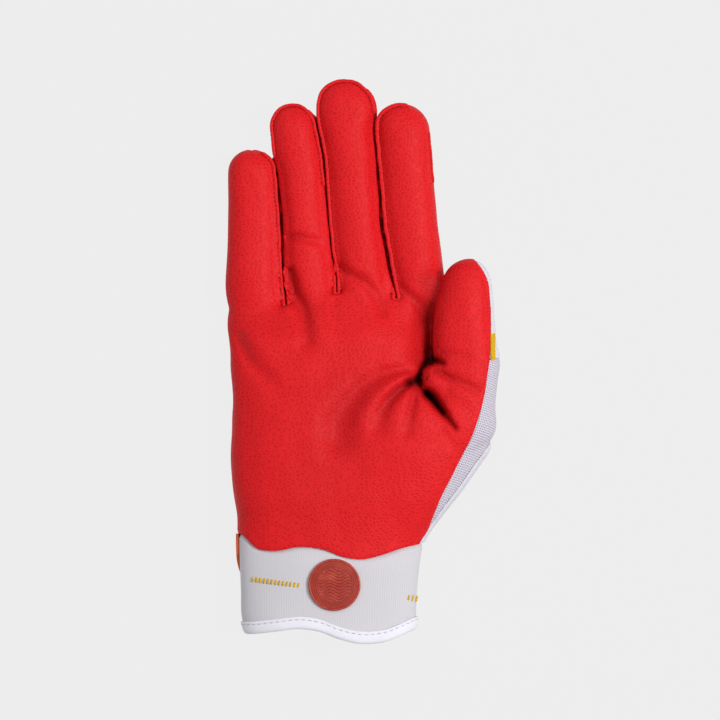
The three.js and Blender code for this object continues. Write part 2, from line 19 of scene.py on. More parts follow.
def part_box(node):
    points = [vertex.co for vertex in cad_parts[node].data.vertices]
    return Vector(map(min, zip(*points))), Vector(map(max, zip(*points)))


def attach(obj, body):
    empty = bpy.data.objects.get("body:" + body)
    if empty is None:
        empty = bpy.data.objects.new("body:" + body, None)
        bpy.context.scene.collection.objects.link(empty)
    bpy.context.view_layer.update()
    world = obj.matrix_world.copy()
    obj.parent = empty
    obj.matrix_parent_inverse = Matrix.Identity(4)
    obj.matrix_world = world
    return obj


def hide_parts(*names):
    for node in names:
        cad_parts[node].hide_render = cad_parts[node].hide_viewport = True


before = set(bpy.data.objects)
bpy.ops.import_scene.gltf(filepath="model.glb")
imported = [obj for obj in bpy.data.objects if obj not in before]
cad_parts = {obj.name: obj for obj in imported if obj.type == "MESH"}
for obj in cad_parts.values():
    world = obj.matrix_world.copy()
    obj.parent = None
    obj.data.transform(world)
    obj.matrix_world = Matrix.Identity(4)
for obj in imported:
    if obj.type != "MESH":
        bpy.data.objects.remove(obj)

log = logging.getLogger("glove")

MM = 0.001
BODY = "root"
BADGE_CENTRE = (0.2, 24.57)
SQUARENESS = 2.35

Face = tuple[int, ...]


# ---------------------------------------------------------------- tables, in millimetres

# Hand: y, left, right, bottom, top, rest, widest (share of the height)
HAND = np.array([
    (-11.7, -34.4, 33.8, 0.5, 27.3, 2.3, 0.5),
    (3.1, -36.6, 34.0, 0.5, 27.3, 2.3, 0.5),
    (10.1, -38.7, 34.5, 0.5, 27.3, 2.3, 0.5),
    (21.5, -39.2, 35.0, 0.5, 27.6, 2.3, 0.5),
    (33.1, -39.6, 36.2, 0.5, 28.1, 2.3, 0.5),
    (41.1, -40.0, 37.8, -0.1, 28.2, 2.3, 0.47),
    (46.3, -40.0, 40.7, -0.1, 28.8, 2.3, 0.45),
    (52.5, -40.3, 45.8, -1.0, 29.4, 1.4, 0.45),
    (59.8, -41.2, 51.2, -2.4, 30.0, 0.0, 0.45),
    (67.1, -42.2, 56.8, -2.4, 30.0, 0.0, 0.45),
    (74.4, -42.7, 61.6, -2.4, 30.0, 0.0, 0.45),
    (81.6, -42.7, 65.8, -2.4, 30.0, 0.0, 0.45),
    (87.9, -42.4, 64.2, -2.4, 29.7, 0.0, 0.45),
    (94.1, -42.2, 61.6, -2.4, 29.4, 0.0, 0.45),
    (99.3, -41.9, 57.6, -2.4, 28.8, 0.0, 0.45),
    (104.5, -42.0, 53.2, -2.4, 28.2, 0.0, 0.45),
    (109.7, -42.3, 48.4, -2.4, 27.3, 0.0, 0.45),
    (114.9, -42.9, 44.5, -2.4, 26.4, 0.0, 0.45),
    (121.2, -43.3, 43.8, -2.4, 25.2, 0.0, 0.45),
    (127.4, -43.7, 44.2, -2.4, 24.0, 0.0, 0.45),
    (133.6, -44.2, 44.5, -1.8, 21.8, 0.0, 0.45),
    (138.4, -44.3, 44.7, -0.6, 19.8, 0.0, 0.45),
    (141.6, -44.0, 44.4, 0.8, 18.4, 0.0, 0.45),
    (142.8, -43.6, 44.0, 3.0, 17.4, 0.0, 0.45),
    (143.2, -43.0, 43.4, 5.5, 14.5, 0.0, 0.45),
])
# End of the hand at the crotches: x, y
HAND_END = np.array([
    (-44.0, 139.0), (-30.0, 139.2), (-20.8, 139.9), (-10.0, 143.5), (0.8, 145.3),
    (12.0, 144.4), (26.1, 142.8), (45.0, 141.0),
])
HAND_END_Y = 143.2

# Thumb: y, x, half width, half depth, z
THUMB = np.array([
    (74.6, 44.9, 10.3, 9.9, 13.8),
    (85.2, 51.9, 14.4, 12.1, 15.0),
    (98.9, 54.3, 13.1, 12.5, 15.9),
    (109.6, 55.1, 13.4, 12.4, 16.2),
    (117.2, 55.4, 13.9, 12.4, 16.4),
    (125.5, 54.3, 13.3, 11.7, 17.1),
    (135.7, 54.2, 12.7, 11.2, 17.4),
    (143.6, 54.7, 11.6, 10.8, 17.7),
    (147.4, 55.1, 10.7, 10.3, 17.7),
])
THUMB_TIP_Y = 159.7

# Rolls of leather that the thumb pushes up beside the crease: x, y, z, radius
ROLLS = (
    np.array([
        (37.2, 110.6, 20.2, 0.9), (37.6, 110.6, 20.3, 3.0), (38.5, 110.4, 20.5, 4.6), (40.2, 109.9, 20.7, 5.8),
        (42.6, 108.8, 20.6, 6.5), (45.8, 106.6, 20.2, 6.9), (49.6, 103.2, 18.9, 7.4), (54.0, 99.0, 16.6, 8.0),
        (57.5, 95.6, 14.0, 8.0),
    ]),
    np.array([
        (41.0, 113.2, 20.4, 0.8), (42.0, 113.6, 21.4, 1.9), (44.0, 113.9, 23.0, 2.6), (47.5, 113.7, 24.8, 2.9),
        (52.0, 112.8, 25.7, 2.8), (56.0, 111.4, 25.0, 2.0),
    ]),
)

# Broad pads and hollows: x, y, radius across, radius along, height
PADS = np.array([
    (41.4, 80.6, 17.6, 26.4, 2.7),
    (-26.4, 76.4, 15.8, 29.9, 0.7),
    (8.2, 97.2, 19.4, 21.1, -0.9),
    (-29.9, 126.4, 8.8, 8.8, 0.9),
    (-8.8, 128.4, 8.8, 8.8, 0.9),
    (12.3, 129.5, 8.8, 8.8, 0.9),
    (31.7, 124.3, 8.8, 10.6, 0.9),
])

# Lines where two fingers meet, from the crotch up: y, x, width left open
SLITS = (
    np.array([
        (140.6, -19.8, 0.9), (146.0, -20.3, 0.9), (155.3, -21.2, 0.9), (170.0, -21.7, 1.0), (186.8, -22.9, 0.9),
        (196.4, -24.0, 0.5), (200.6, -25.2, 0.2),
    ]),
    np.array([
        (146.0, 1.2, 0.6), (153.2, 0.7, 0.5), (165.2, -1.2, 0.3), (174.8, -2.0, 0.4), (186.8, -3.2, 0.7),
        (196.4, -3.9, 0.9), (206.0, -5.2, 1.0), (213.2, -6.7, 0.9), (219.8, -7.8, 0.3),
    ]),
    np.array([
        (144.5, 25.8, 0.4), (153.2, 23.7, 0.9), (164.0, 21.6, 1.4), (174.8, 19.9, 1.2), (186.8, 19.1, 0.9),
        (196.4, 18.3, 0.6), (206.0, 17.5, 0.4), (213.2, 16.9, 0.3), (217.4, 17.1, 0.2),
    ]),
)
CROTCH_Y = (140.4, 145.6, 143.2)

LEATHER_EDGE = np.array([
    (-45.0, 45.7), (-39.0, 45.3), (-32.3, 39.8), (-24.0, 38.6), (-14.3, 40.2), (-3.8, 39.0),
    (4.5, 35.9), (12.0, 35.1), (19.5, 36.7), (27.8, 39.4), (37.5, 41.3), (46.5, 42.1), (80.0, 42.5),
])
HEM = np.array([
    (-45.0, 3.9), (-34.5, 3.9), (-24.0, 5.1), (-14.3, 6.2), (-6.0, 5.1), (2.3, 2.0), (12.0, 0.0),
    (21.0, 0.8), (34.5, 5.9), (45.0, 7.8),
])
# Edge of the leather on the thumb side, and the glove's outline there: y, x
THUMB_EDGE = np.array([
    (30.0, 33.5), (42.7, 36.6), (45.6, 38.6), (51.9, 41.1), (60.2, 44.4), (68.5, 48.6), (76.8, 52.7),
    (85.1, 56.9), (93.4, 59.8), (101.7, 62.2), (110.0, 63.5), (118.3, 64.7), (125.7, 65.2),
    (142.3, 65.0), (150.6, 63.9), (155.6, 61.4), (160.6, 57.5), (200.0, 57.0),
])
THUMB_OUTLINE = np.array([
    (36.0, 33.0), (42.3, 36.1), (47.7, 41.9), (56.0, 48.1), (64.3, 54.4), (72.6, 60.2), (80.9, 65.6),
    (92.5, 67.2), (100.8, 68.1), (120.0, 68.5),
])
BACK_SEAM_Z = 5.0
DEEPEST = 8.0  # no fold goes lower than this
FINGER_SEAM_Z = 13.2
THUMB_SEAM_Z = 15.0
GUSSET_SEAM_Z = 2.3
GUSSET_TOP_Y = 118.3
THUMB_INSIDE_X = 46.3
EDGE_BAND = 2.2  # strip of the back that shows beside the mesh near the wrist


class Side(Enum):
    """Which way a profile of a fold runs."""

    SOFT = "soft valley"
    ROLL = "soft ridge"


@dataclass(frozen=True)
class Fold:
    """A fold of the leather along a line, with painted shade at its bottom: reach, depth and tone run from its start to
    its end.
    """

    name: str
    side: Side
    points: tuple[tuple[float, float], ...]
    reach: tuple[float, float]
    depth: tuple[float, float]
    # painted shade: how much the leather's colour is darkened at the fold's bottom
    tone: tuple[float, float] = (0.0, 0.0)  # how much darker the leather is at its bottom
    everywhere: bool = False  # whether it also marks the thumb and the roll

    def nearest(self, xy: np.ndarray) -> tuple[np.ndarray, np.ndarray]:
        """Nearest place on the line.

        Args:
            xy: points, (n, 2).

        Returns:
            Distance in millimetres, and share of the way along the line, per point.
        """
        line = np.array(self.points)
        steps = np.linalg.norm(np.diff(line, axis=0), axis=1)
        begin = np.concatenate([[0.0], np.cumsum(steps)]) / steps.sum()
        best = np.full(len(xy), 1e9)
        best_share = np.zeros(len(xy))
        for i, step in enumerate(steps):
            run = (line[i + 1] - line[i]) / step
            off = xy - line[i]
            along = np.clip(off @ run, 0.0, step)
            away = np.linalg.norm(off - along[:, None] * run, axis=1)
            nearer = away < best
            best = np.where(nearer, away, best)
            share = begin[i] + (begin[i + 1] - begin[i]) * along / step
            best_share = np.where(nearer, share, best_share)
        return best, best_share

    def height(self, xy: np.ndarray) -> np.ndarray:
        """Height in millimetres that the fold adds at points, (n, 2)."""
        best, share = self.nearest(xy)
        reach = self.reach[0] + (self.reach[1] - self.reach[0]) * share
        depth = self.depth[0] + (self.depth[1] - self.depth[0]) * share
        bell = depth * np.exp(-((best / reach) ** 2))
        return bell if self.side is Side.ROLL else -bell

    def painted_shade_share(self, xy: np.ndarray) -> np.ndarray:
        """Share of the leather's colour that the fold's painted shade darkens at points, (n, 2)."""
        best, share = self.nearest(xy)
        reach = 0.95 * (self.reach[0] + (self.reach[1] - self.reach[0]) * share)
        tone = self.tone[0] + (self.tone[1] - self.tone[0]) * share
        return tone * np.exp(-((best / reach) ** 2))


# The third pair of a fold, where given, is the painted shade at its bottom.
FOLDS = (
    Fold("thumb web", Side.SOFT, ((41.4, 140.0), (40.6, 133.0), (40.2, 127.0), (40.1, 120.5)),
         (1.6, 1.7), (1.5, 3.4), (0.2, 0.3)),
    Fold("slope to web", Side.SOFT, ((40.5, 150.0), (39.4, 141.0), (38.6, 132.0), (38.4, 118.0)),
         (5.5, 7.5), (1.6, 5.5), (0.23, 0.24)),
    Fold("web pit", Side.SOFT, ((39.8, 120.4), (40.6, 118.4), (42.2, 117.6)),
         (1.5, 1.7), (6.0, 7.0), (0.1, 0.95)),
    Fold("web wedge", Side.SOFT, ((40.6, 117.7), (43.0, 117.0), (45.4, 116.0)),
         (1.7, 0.8), (8.0, 3.0), (0.97, 0.6), everywhere=True),
    Fold("main crease", Side.SOFT, ((37.2, 109.3), (35.2, 109.3), (33.2, 108.7), (31.2, 107.9)),
         (2.7, 1.6), (9.5, 4.6), (0.97, 0.75)),
    Fold("above the nose", Side.SOFT, ((36.2, 110.8), (37.0, 114.6), (39.4, 117.2)),
         (1.4, 1.4), (6.0, 6.0), (0.8, 0.75)),
    Fold("end of main crease", Side.SOFT, ((31.2, 107.9), (26.6, 104.4), (22.8, 100.4), (20.0, 95.4), (18.4, 90.0)),
         (1.7, 3.4), (3.6, 1.2), (0.6, 0.05)),
    Fold("upper valley", Side.SOFT,
         ((31.5, 112.8), (27.4, 113.4), (19.1, 111.6), (10.8, 106.0), (5.0, 98.8), (2.2, 91.5), (2.0, 85.0)),
         (2.0, 6.8), (1.8, 3.6), (0.12, 0.1)),
    Fold("ridge", Side.ROLL, ((31.0, 110.9), (24.0, 108.0), (17.0, 102.0), (11.0, 93.0)), (1.7, 3.4), (1.2, 1.0)),
    Fold("second fold", Side.SOFT, ((34.0, 105.4), (32.2, 98.0), (30.2, 88.0)), (1.6, 3.0), (2.8, 1.2), (0.25, 0.1)),
    Fold("slot", Side.SOFT, ((38.7, 103.6), (40.9, 101.3), (43.0, 98.6), (46.0, 94.8), (50.4, 89.0)),
         (1.7, 0.9), (10.0, 2.2), (1.0, 0.4), everywhere=True),
    Fold("slot middle", Side.SOFT, ((40.4, 102.0), (42.8, 98.8), (45.2, 95.8)),
         (1.7, 1.3), (4.0, 3.0), (0.9, 0.7), everywhere=True),
    Fold("under the roll", Side.SOFT, ((36.0, 107.4), (36.8, 105.6), (38.6, 103.8)), (1.5, 1.6), (5.0, 5.5), (0.7, 0.8)),
    Fold("thumb joint", Side.SOFT, ((41.6, 113.2), (46.0, 110.9), (53.6, 107.6), (59.3, 104.6)),
         (1.0, 2.2), (1.6, 1.3), (0.35, 0.1), everywhere=True),
    Fold("upper thumb joint", Side.SOFT, ((44.4, 120.2), (49.0, 119.4), (55.0, 118.8)),
         (1.2, 2.2), (0.9, 0.5), (0.12, 0.05), everywhere=True),
    Fold("ball of thumb", Side.SOFT, ((50.0, 100.4), (56.0, 96.0)), (2.6, 3.0), (0.7, 0.4), everywhere=True),
    Fold("little crotch", Side.SOFT, ((-18.4, 154.0), (-16.8, 146.0), (-13.2, 139.0), (-11.8, 133.0), (-11.2, 125.0)),
         (2.0, 3.6), (3.8, 2.3), (0.25, 0.1)),
    Fold("ring crotch", Side.SOFT, ((0.2, 141.5), (0.4, 134.0), (2.9, 122.4)), (1.8, 3.8), (0.7, 0.3)),
    Fold("middle base", Side.SOFT, ((1.8, 156.0), (7.0, 152.6), (13.2, 149.2), (17.4, 144.0), (19.8, 138.0)),
         (2.2, 2.8), (2.2, 1.4), (0.12, 0.08)),
    Fold("ring wrinkle", Side.SOFT, ((-19.4, 168.6), (-15.0, 168.6), (-7.0, 166.6)), (1.5, 1.9), (2.0, 1.2), (0.12, 0.06)),
    Fold("ring wrinkle below", Side.ROLL, ((-18.6, 163.0), (-10.0, 164.0)), (2.0, 2.4), (0.4, 0.3)),
    Fold("middle wrinkle", Side.SOFT, ((8.6, 158.4), (13.0, 157.6), (18.0, 156.4)), (0.9, 0.9), (0.35, 0.3)),
    Fold("index base", Side.SOFT, ((27.0, 148.5), (31.0, 144.6), (35.5, 140.2), (38.5, 134.5)),
         (1.5, 3.4), (1.1, 1.8), (0.1, 0.2)),
    Fold("outer palm", Side.SOFT, ((-40.0, 127.0), (-34.5, 116.5), (-27.5, 109.0), (-22.5, 104.5)), (2.6, 4.2), (1.8, 1.1)),
    Fold("outer swell", Side.ROLL, ((-38.0, 134.0), (-30.0, 121.0)), (5.0, 6.0), (0.5, 0.5)),
    Fold("palm hollow", Side.SOFT, ((4.0, 102.0), (-3.0, 78.0), (-10.0, 54.0)), (16.0, 18.0), (0.4, 0.3), (0.1, 0.05)),
    Fold("heel swell", Side.ROLL, ((22.0, 78.0), (32.0, 64.0)), (12.0, 12.0), (0.7, 0.5)),
)
# The attribute carries the folds' painted shade to the leather's material.
PAINTED_FOLD_SHADE = "painted_fold_shade"  # name of the attribute that says how dark a fold is


def through(knots: np.ndarray, values: np.ndarray, at: np.ndarray) -> np.ndarray:
    """Smooth curve through points, by cubic Hermite pieces, held level beyond its ends.

    Args:
        knots: rising positions, (k,).
        values: values there, (k,) or (k, m).
        at: where the curve is wanted.

    Returns:
        Values of the curve.
    """
    slopes = np.gradient(values, knots, axis=0)
    i = np.clip(np.searchsorted(knots, at) - 1, 0, len(knots) - 2)
    width = knots[i + 1] - knots[i]
    t = np.clip((at - knots[i]) / width, 0.0, 1.0)
    if values.ndim > 1:
        width, t = width[..., None], t[..., None]
    a = 2 * t**3 - 3 * t**2 + 1
    b = t**3 - 2 * t**2 + t
    c = 3 * t**2 - 2 * t**3
    d = t**3 - t**2
    return a * values[i] + b * width * slopes[i] + c * values[i + 1] + d * width * slopes[i + 1]


def smoothstep(low: float, high: float, value: np.ndarray) -> np.ndarray:
    """Smooth share from 0 at low to 1 at high."""
    t = np.clip((value - low) / (high - low), 0.0, 1.0)
    return t * t * (3 - 2 * t)


def round_section(columns: int, exponent: float = SQUARENESS) -> tuple[np.ndarray, np.ndarray]:
    """Shares across and up of a superellipse, counter-clockwise from its right end.

    Args:
        columns: number of points.
        exponent: 2 gives an ellipse, more a squarer form.

    Returns:
        Shares from -1 to 1 across and up.
    """
    turn = np.linspace(0, 2 * math.pi, columns, endpoint=False)
    across, up = np.cos(turn), np.sin(turn)
    power = 2 / exponent
    return np.sign(across) * np.abs(across) ** power, np.sign(up) * np.abs(up) ** power


def rings_of(rows: np.ndarray, columns: int, grow: float = 0.0) -> np.ndarray:
    """Rings of a form.

    Args:
        rows: y, x, z, left, right, up, down and rest of each ring.
        columns: points in a ring.
        grow: how far the form is moved outwards.

    Returns:
        Points, (rows, columns, 3).
    """
    across, up = round_section(columns)
    y, x, z, left, right, high, low, rest = (rows[:, i : i + 1] for i in range(8))
    px = x + np.where(across < 0, across * (left + grow), across * (right + grow))
    pz = z + np.where(up > 0, up * (high + grow), up * (low + grow))
    pz = np.maximum(pz, rest - grow)
    return np.stack([px, np.broadcast_to(y, px.shape), pz], axis=2)


def grid_faces(rows: int, columns: int, closed: bool, start: int = 0) -> list[Face]:
    """Quads of a grid of points.

    Args:
        rows: rows of points.
        columns: points in a row.
        closed: whether each row is a ring.
        start: index of the first point.

    Returns:
        Faces whose normals point outwards on rings that run counter-clockwise seen from -Y.
    """
    faces = []
    for row in range(rows - 1):
        for i in range(columns if closed else columns - 1):
            j = (i + 1) % columns
            a, b = start + row * columns, start + (row + 1) * columns
            faces.append((a + i, b + i, b + j, a + j))
    return faces


def closed_form(rings: np.ndarray, start: int = 0) -> tuple[np.ndarray, list[Face]]:
    """A closed form through rings, with its ends capped."""
    rows, columns, _ = rings.shape
    faces = grid_faces(rows, columns, True, start)
    faces.append(tuple(start + i for i in range(columns)))
    last = start + (rows - 1) * columns
    faces.append(tuple(last + i for i in reversed(range(columns))))
    return rings.reshape(-1, 3), faces


def vertex_normals(points: np.ndarray, faces: Sequence[Face]) -> np.ndarray:
    """Normals of a mesh's points, from the faces round them."""
    normals = np.zeros_like(points)
    by_size: dict[int, list[Face]] = {}
    for face in faces:
        by_size.setdefault(len(face), []).append(face)
    for size, group in by_size.items():
        index = np.array(group)
        corners = points[index]
        area = sum(
            np.cross(corners[:, i] - corners[:, 0], corners[:, i + 1] - corners[:, 0])
            for i in range(1, size - 1)
        )
        for i in range(size):
            np.add.at(normals, index[:, i], area)
    length = np.linalg.norm(normals, axis=1, keepdims=True)
    return normals / np.maximum(length, 1e-9)


class Bench:
    """Where the glove's own millimetres lie in the frame, and how a mesh becomes an object there."""

    def __init__(self) -> None:
        """Finds the place from the badge, whose centre is known in both."""
        low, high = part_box("cuff_badge")
        self.dx = (low.x + high.x) / 2 / MM - BADGE_CENTRE[0]
        self.dy = (low.y + high.y) / 2 / MM - BADGE_CENTRE[1]

    def metres(self, points: np.ndarray) -> np.ndarray:
        """The glove's millimetres as metres of the frame."""
        return (points + np.array([self.dx, self.dy, 0.0])) * MM

    def millimetres(self, points: np.ndarray) -> np.ndarray:
        """Metres of the frame as the glove's millimetres."""
        return points / MM - np.array([self.dx, self.dy, 0.0])

    def object(self, name: str, points: np.ndarray, faces: Sequence[Face]) -> bpy.types.Object:
        """A mesh object at the origin, with its place in its mesh.

        Args:
            name: name of the object.
            points: points in the glove's millimetres.
            faces: faces as indices.

        Returns:
            The new object.
        """
        mesh = bpy.data.meshes.new(name)
        mesh.from_pydata(self.metres(points).tolist(), [], [list(f) for f in faces])
        mesh.validate()
        mesh.update()
        made = bpy.data.objects.new(name, mesh)
        bpy.context.scene.collection.objects.link(made)
        return made

    def read(self, piece: bpy.types.Object) -> tuple[np.ndarray, list[Face]]:
        """Points in the glove's millimetres, and faces, of an object."""
        flat = np.empty(len(piece.data.vertices) * 3, np.float32)
        piece.data.vertices.foreach_get("co", flat)
        points = self.millimetres(flat.reshape(-1, 3).astype(float))
        return points, [tuple(p.vertices) for p in piece.data.polygons]


def select_only(piece: bpy.types.Object) -> None:
    """Makes one object the only one selected, and the active one."""
    bpy.ops.object.select_all(action="DESELECT")
    piece.select_set(True)
    bpy.context.view_layer.objects.active = piece


def apply_modifier(piece: bpy.types.Object, kind: str, **settings: object) -> None:
    """Adds a modifier with its settings and applies it."""
    select_only(piece)
    modifier = piece.modifiers.new(kind.lower(), kind)
    for key, value in settings.items():
        setattr(modifier, key, value)
    bpy.ops.object.modifier_apply(modifier=modifier.name)


def shade(piece: bpy.types.Object, degrees: float = 40.0) -> None:
    """Shades an object smooth, with edges sharper than an angle kept sharp."""
    select_only(piece)
    bpy.ops.object.shade_smooth_by_angle(angle=math.radians(degrees))


def wall(piece: bpy.types.Object, thickness: float) -> None:
    """Gives a sheet its thickness inwards, in millimetres."""
    apply_modifier(piece, "SOLIDIFY", thickness=thickness * MM, offset=-1.0, use_quality_normals=True)


def outward_normals(piece: bpy.types.Object) -> None:
    """Turns the faces of a closed mesh outwards."""
    select_only(piece)
    bpy.ops.object.mode_set(mode="EDIT")
    bpy.ops.mesh.select_all(action="SELECT")
    bpy.ops.mesh.normals_make_consistent(inside=False)
    bpy.ops.object.mode_set(mode="OBJECT")


def lay_map(piece: bpy.types.Object, across: np.ndarray, along: np.ndarray) -> None:
    """Lays a UV map in metres on a mesh, one value per point."""
    layer = piece.data.uv_layers.new(name="cloth")
    corner = np.empty(len(piece.data.loops), np.int32)
    piece.data.loops.foreach_get("vertex_index", corner)
    pairs = np.stack([across[corner], along[corner]], axis=1) * MM
    layer.data.foreach_set("uv", pairs.ravel().astype(np.float32))


# ---------------------------------------------------------------- materials


def linear(colour: str) -> tuple[float, float, float, float]:
    """An sRGB hex colour as linear RGBA."""
    parts = [int(colour[i : i + 2], 16) / 255 for i in (1, 3, 5)]
    return (*[c / 12.92 if c <= 0.04045 else ((c + 0.055) / 1.055) ** 2.4 for c in parts], 1.0)


def node(tree: bpy.types.NodeTree, kind: str, inputs: dict, **settings: object) -> bpy.types.Node:
    """Adds a node.

    Args:
        tree: the material's tree.
        kind: type of the node.
        inputs: socket name or number to a value, or to a socket that it is linked from.
        settings: properties of the node.

    Returns:
        The new node.
    """
    made = tree.nodes.new(kind)
    for key, value in settings.items():
        setattr(made, key, value)
    for key, value in inputs.items():
        if isinstance(value, bpy.types.NodeSocket):
            tree.links.new(value, made.inputs[key])
        else:
            made.inputs[key].default_value = value
    return made


def ramp(tree: bpy.types.NodeTree, source: bpy.types.NodeSocket, stops: Sequence[tuple[float, str]]) -> bpy.types.NodeSocket:
    """Colours a value by stops of position and hex colour."""
    made = node(tree, "ShaderNodeValToRGB", {"Fac": source})
    elements = made.color_ramp.elements
    while len(elements) < len(stops):
        elements.new(0.5)
    for element, (place, colour) in zip(elements, stops):
        element.position = place
        element.color = linear(colour)
    return made.outputs["Color"]


def new_material(name: str, **sockets: float) -> tuple[bpy.types.Material, bpy.types.Node]:
    """A material with its shader, the shader's constants set on its own sockets."""
    material = bpy.data.materials.new(name)
    material.use_nodes = True
    shader = material.node_tree.nodes["Principled BSDF"]
    for key, value in sockets.items():
        shader.inputs[key.replace("_", " ")].default_value = value
    return material, shader


@dataclass(frozen=True)
class PebbledLeather:
    """Embossed sheepskin: a raised lighter net round small sunken cells, with painted shade mixed in at the folds."""

    name: str
    pit: str
    ridge: str
    # deep is the colour of the painted shade in the folds
    deep: str
    grain: float  # size of a pebble, mm
    depth: float = 0.16
    roughness: float = 0.5

    def material(self) -> bpy.types.Material:
        """Builds the material."""
        material, shader = new_material(self.name, Roughness=self.roughness, IOR=1.45)
        shader.inputs["Specular IOR Level"].default_value = 0.12
        tree = material.node_tree
        place = node(tree, "ShaderNodeTexCoord", {}).outputs["Object"]
        # A little wander keeps the pebbles from standing in rows.
        wander = node(tree, "ShaderNodeTexNoise", {"Vector": place, "Scale": 300.0, "Detail": 1.0})
        moved = node(
            tree, "ShaderNodeVectorMath",
            {0: wander.outputs["Color"], 1: (0.0006, 0.0006, 0.0006)}, operation="MULTIPLY",
        )
        shifted = node(tree, "ShaderNodeVectorMath", {0: place, 1: moved.outputs[0]}, operation="ADD")
        squeezed = node(tree, "ShaderNodeMapping", {"Vector": shifted.outputs[0], "Scale": (1.0, 1.25, 1.0)})
        cells = node(
            tree, "ShaderNodeTexVoronoi",
            {"Vector": squeezed.outputs[0], "Scale": 1 / (self.grain * MM), "Randomness": 0.9},
            feature="DISTANCE_TO_EDGE",
        )
        net = node(
            tree, "ShaderNodeMapRange",
            {"Value": cells.outputs["Distance"], "From Min": 0.0, "From Max": 0.3, "To Min": 1.0, "To Max": 0.0},
            interpolation_type="SMOOTHSTEP",
        )
        cloud = node(tree, "ShaderNodeTexNoise", {"Vector": place, "Scale": 40.0, "Detail": 2.0})
        fine = node(tree, "ShaderNodeTexNoise", {"Vector": place, "Scale": 1800.0, "Detail": 2.0})
        tone = node(tree, "ShaderNodeMath", {0: cloud.outputs["Fac"], 1: 0.3, 2: net.outputs[0]}, operation="MULTIPLY_ADD")
        flat = ramp(tree, tone.outputs[0], [(0.05, self.pit), (1.0, self.ridge)])
        # Painted shade: the colour is mixed towards a near-black red by the fold attribute, darkest in the deep folds.
        deep = node(tree, "ShaderNodeAttribute", {}, attribute_name=PAINTED_FOLD_SHADE)
        shade_painted = node(
            tree, "ShaderNodeMix", {"Factor": deep.outputs["Fac"], 6: flat, 7: linear(self.deep)}, data_type="RGBA",
        )
        tree.links.new(shade_painted.outputs[2], shader.inputs["Base Color"])
        height = node(tree, "ShaderNodeMath", {0: fine.outputs["Fac"], 1: 0.2, 2: net.outputs[0]}, operation="MULTIPLY_ADD")
        bump = node(tree, "ShaderNodeBump", {"Height": height.outputs[0], "Distance": self.depth * MM, "Strength": 0.8})
        tree.links.new(bump.outputs[0], shader.inputs["Normal"])
        return material


@dataclass(frozen=True)
class AirMesh:
    """Polyester spacer mesh: staggered small holes in a pale knit, by the cloth's own map."""

    name: str = "polyester_air_mesh"
    thread: str = "#CDC7D3"
    hole: str = "#968FA2"
    pitch: float = 1.35

    def material(self) -> bpy.types.Material:
        """Builds the material."""
        material, shader = new_material(self.name, Roughness=0.8, Sheen_Weight=0.2)
        tree = material.node_tree
        place = node(tree, "ShaderNodeUVMap", {}, uv_map="cloth").outputs[0]
        turned = node(
            tree, "ShaderNodeMapping",
            {"Vector": place, "Rotation": (0, 0, math.radians(32)), "Scale": (1 / (self.pitch * MM),) * 3},
        )
        parts = node(tree, "ShaderNodeSeparateXYZ", {0: turned.outputs[0]})
        waves = []
        for axis in ("X", "Y"):
            turns = node(tree, "ShaderNodeMath", {0: parts.outputs[axis], 1: 2 * math.pi}, operation="MULTIPLY")
            waves.append(node(tree, "ShaderNodeMath", {0: turns.outputs[0]}, operation="SINE").outputs[0])
        both = node(tree, "ShaderNodeMath", {0: waves[0], 1: waves[1]}, operation="MULTIPLY")
        holes = node(
            tree, "ShaderNodeMapRange", {"Value": both.outputs[0], "From Min": 0.1, "From Max": 0.75},
            interpolation_type="SMOOTHSTEP",
        )
        tree.links.new(ramp(tree, holes.outputs[0], [(0.0, self.thread), (1.0, self.hole)]), shader.inputs["Base Color"])
        down = node(tree, "ShaderNodeMath", {0: 1.0, 1: holes.outputs[0]}, operation="SUBTRACT")
        bump = node(tree, "ShaderNodeBump", {"Height": down.outputs[0], "Distance": 0.35 * MM, "Strength": 0.8})
        tree.links.new(bump.outputs[0], shader.inputs["Normal"])
        return material


@dataclass(frozen=True)
class RibbedKnit:
    """Elastic rib knit: fine upright ribs crossed by shorter stitches, by the cloth's own map."""

    name: str
    colour: str
    shade: str
    pitch: float = 1.05
    depth: float = 0.16

    def material(self) -> bpy.types.Material:
        """Builds the material."""
        material, shader = new_material(self.name, Roughness=0.85, Sheen_Weight=0.25)
        tree = material.node_tree
        place = node(tree, "ShaderNodeUVMap", {}, uv_map="cloth").outputs[0]
        parts = node(tree, "ShaderNodeSeparateXYZ", {0: place})
        waves = []
        for axis, pitch in (("X", self.pitch), ("Y", self.pitch * 0.8)):
            turns = node(tree, "ShaderNodeMath", {0: parts.outputs[axis], 1: 2 * math.pi / (pitch * MM)}, operation="MULTIPLY")
            waves.append(node(tree, "ShaderNodeMath", {0: turns.outputs[0]}, operation="SINE").outputs[0])
        rib = node(tree, "ShaderNodeMath", {0: waves[0], 1: 0.5, 2: 0.5}, operation="MULTIPLY_ADD")
        stitch = node(tree, "ShaderNodeMath", {0: waves[1], 1: 0.12, 2: rib.outputs[0]}, operation="MULTIPLY_ADD")
        cloud = node(tree, "ShaderNodeTexNoise", {"Vector": place, "Scale": 70.0, "Detail": 3.0})
        tone = node(tree, "ShaderNodeMath", {0: cloud.outputs["Fac"], 1: 0.6, 2: rib.outputs[0]}, operation="MULTIPLY_ADD")
        tree.links.new(ramp(tree, tone.outputs[0], [(0.1, self.shade), (0.9, self.colour)]), shader.inputs["Base Color"])
        bump = node(tree, "ShaderNodeBump", {"Height": stitch.outputs[0], "Distance": self.depth * MM, "Strength": 0.6})
        tree.links.new(bump.outputs[0], shader.inputs["Normal"])
        return material


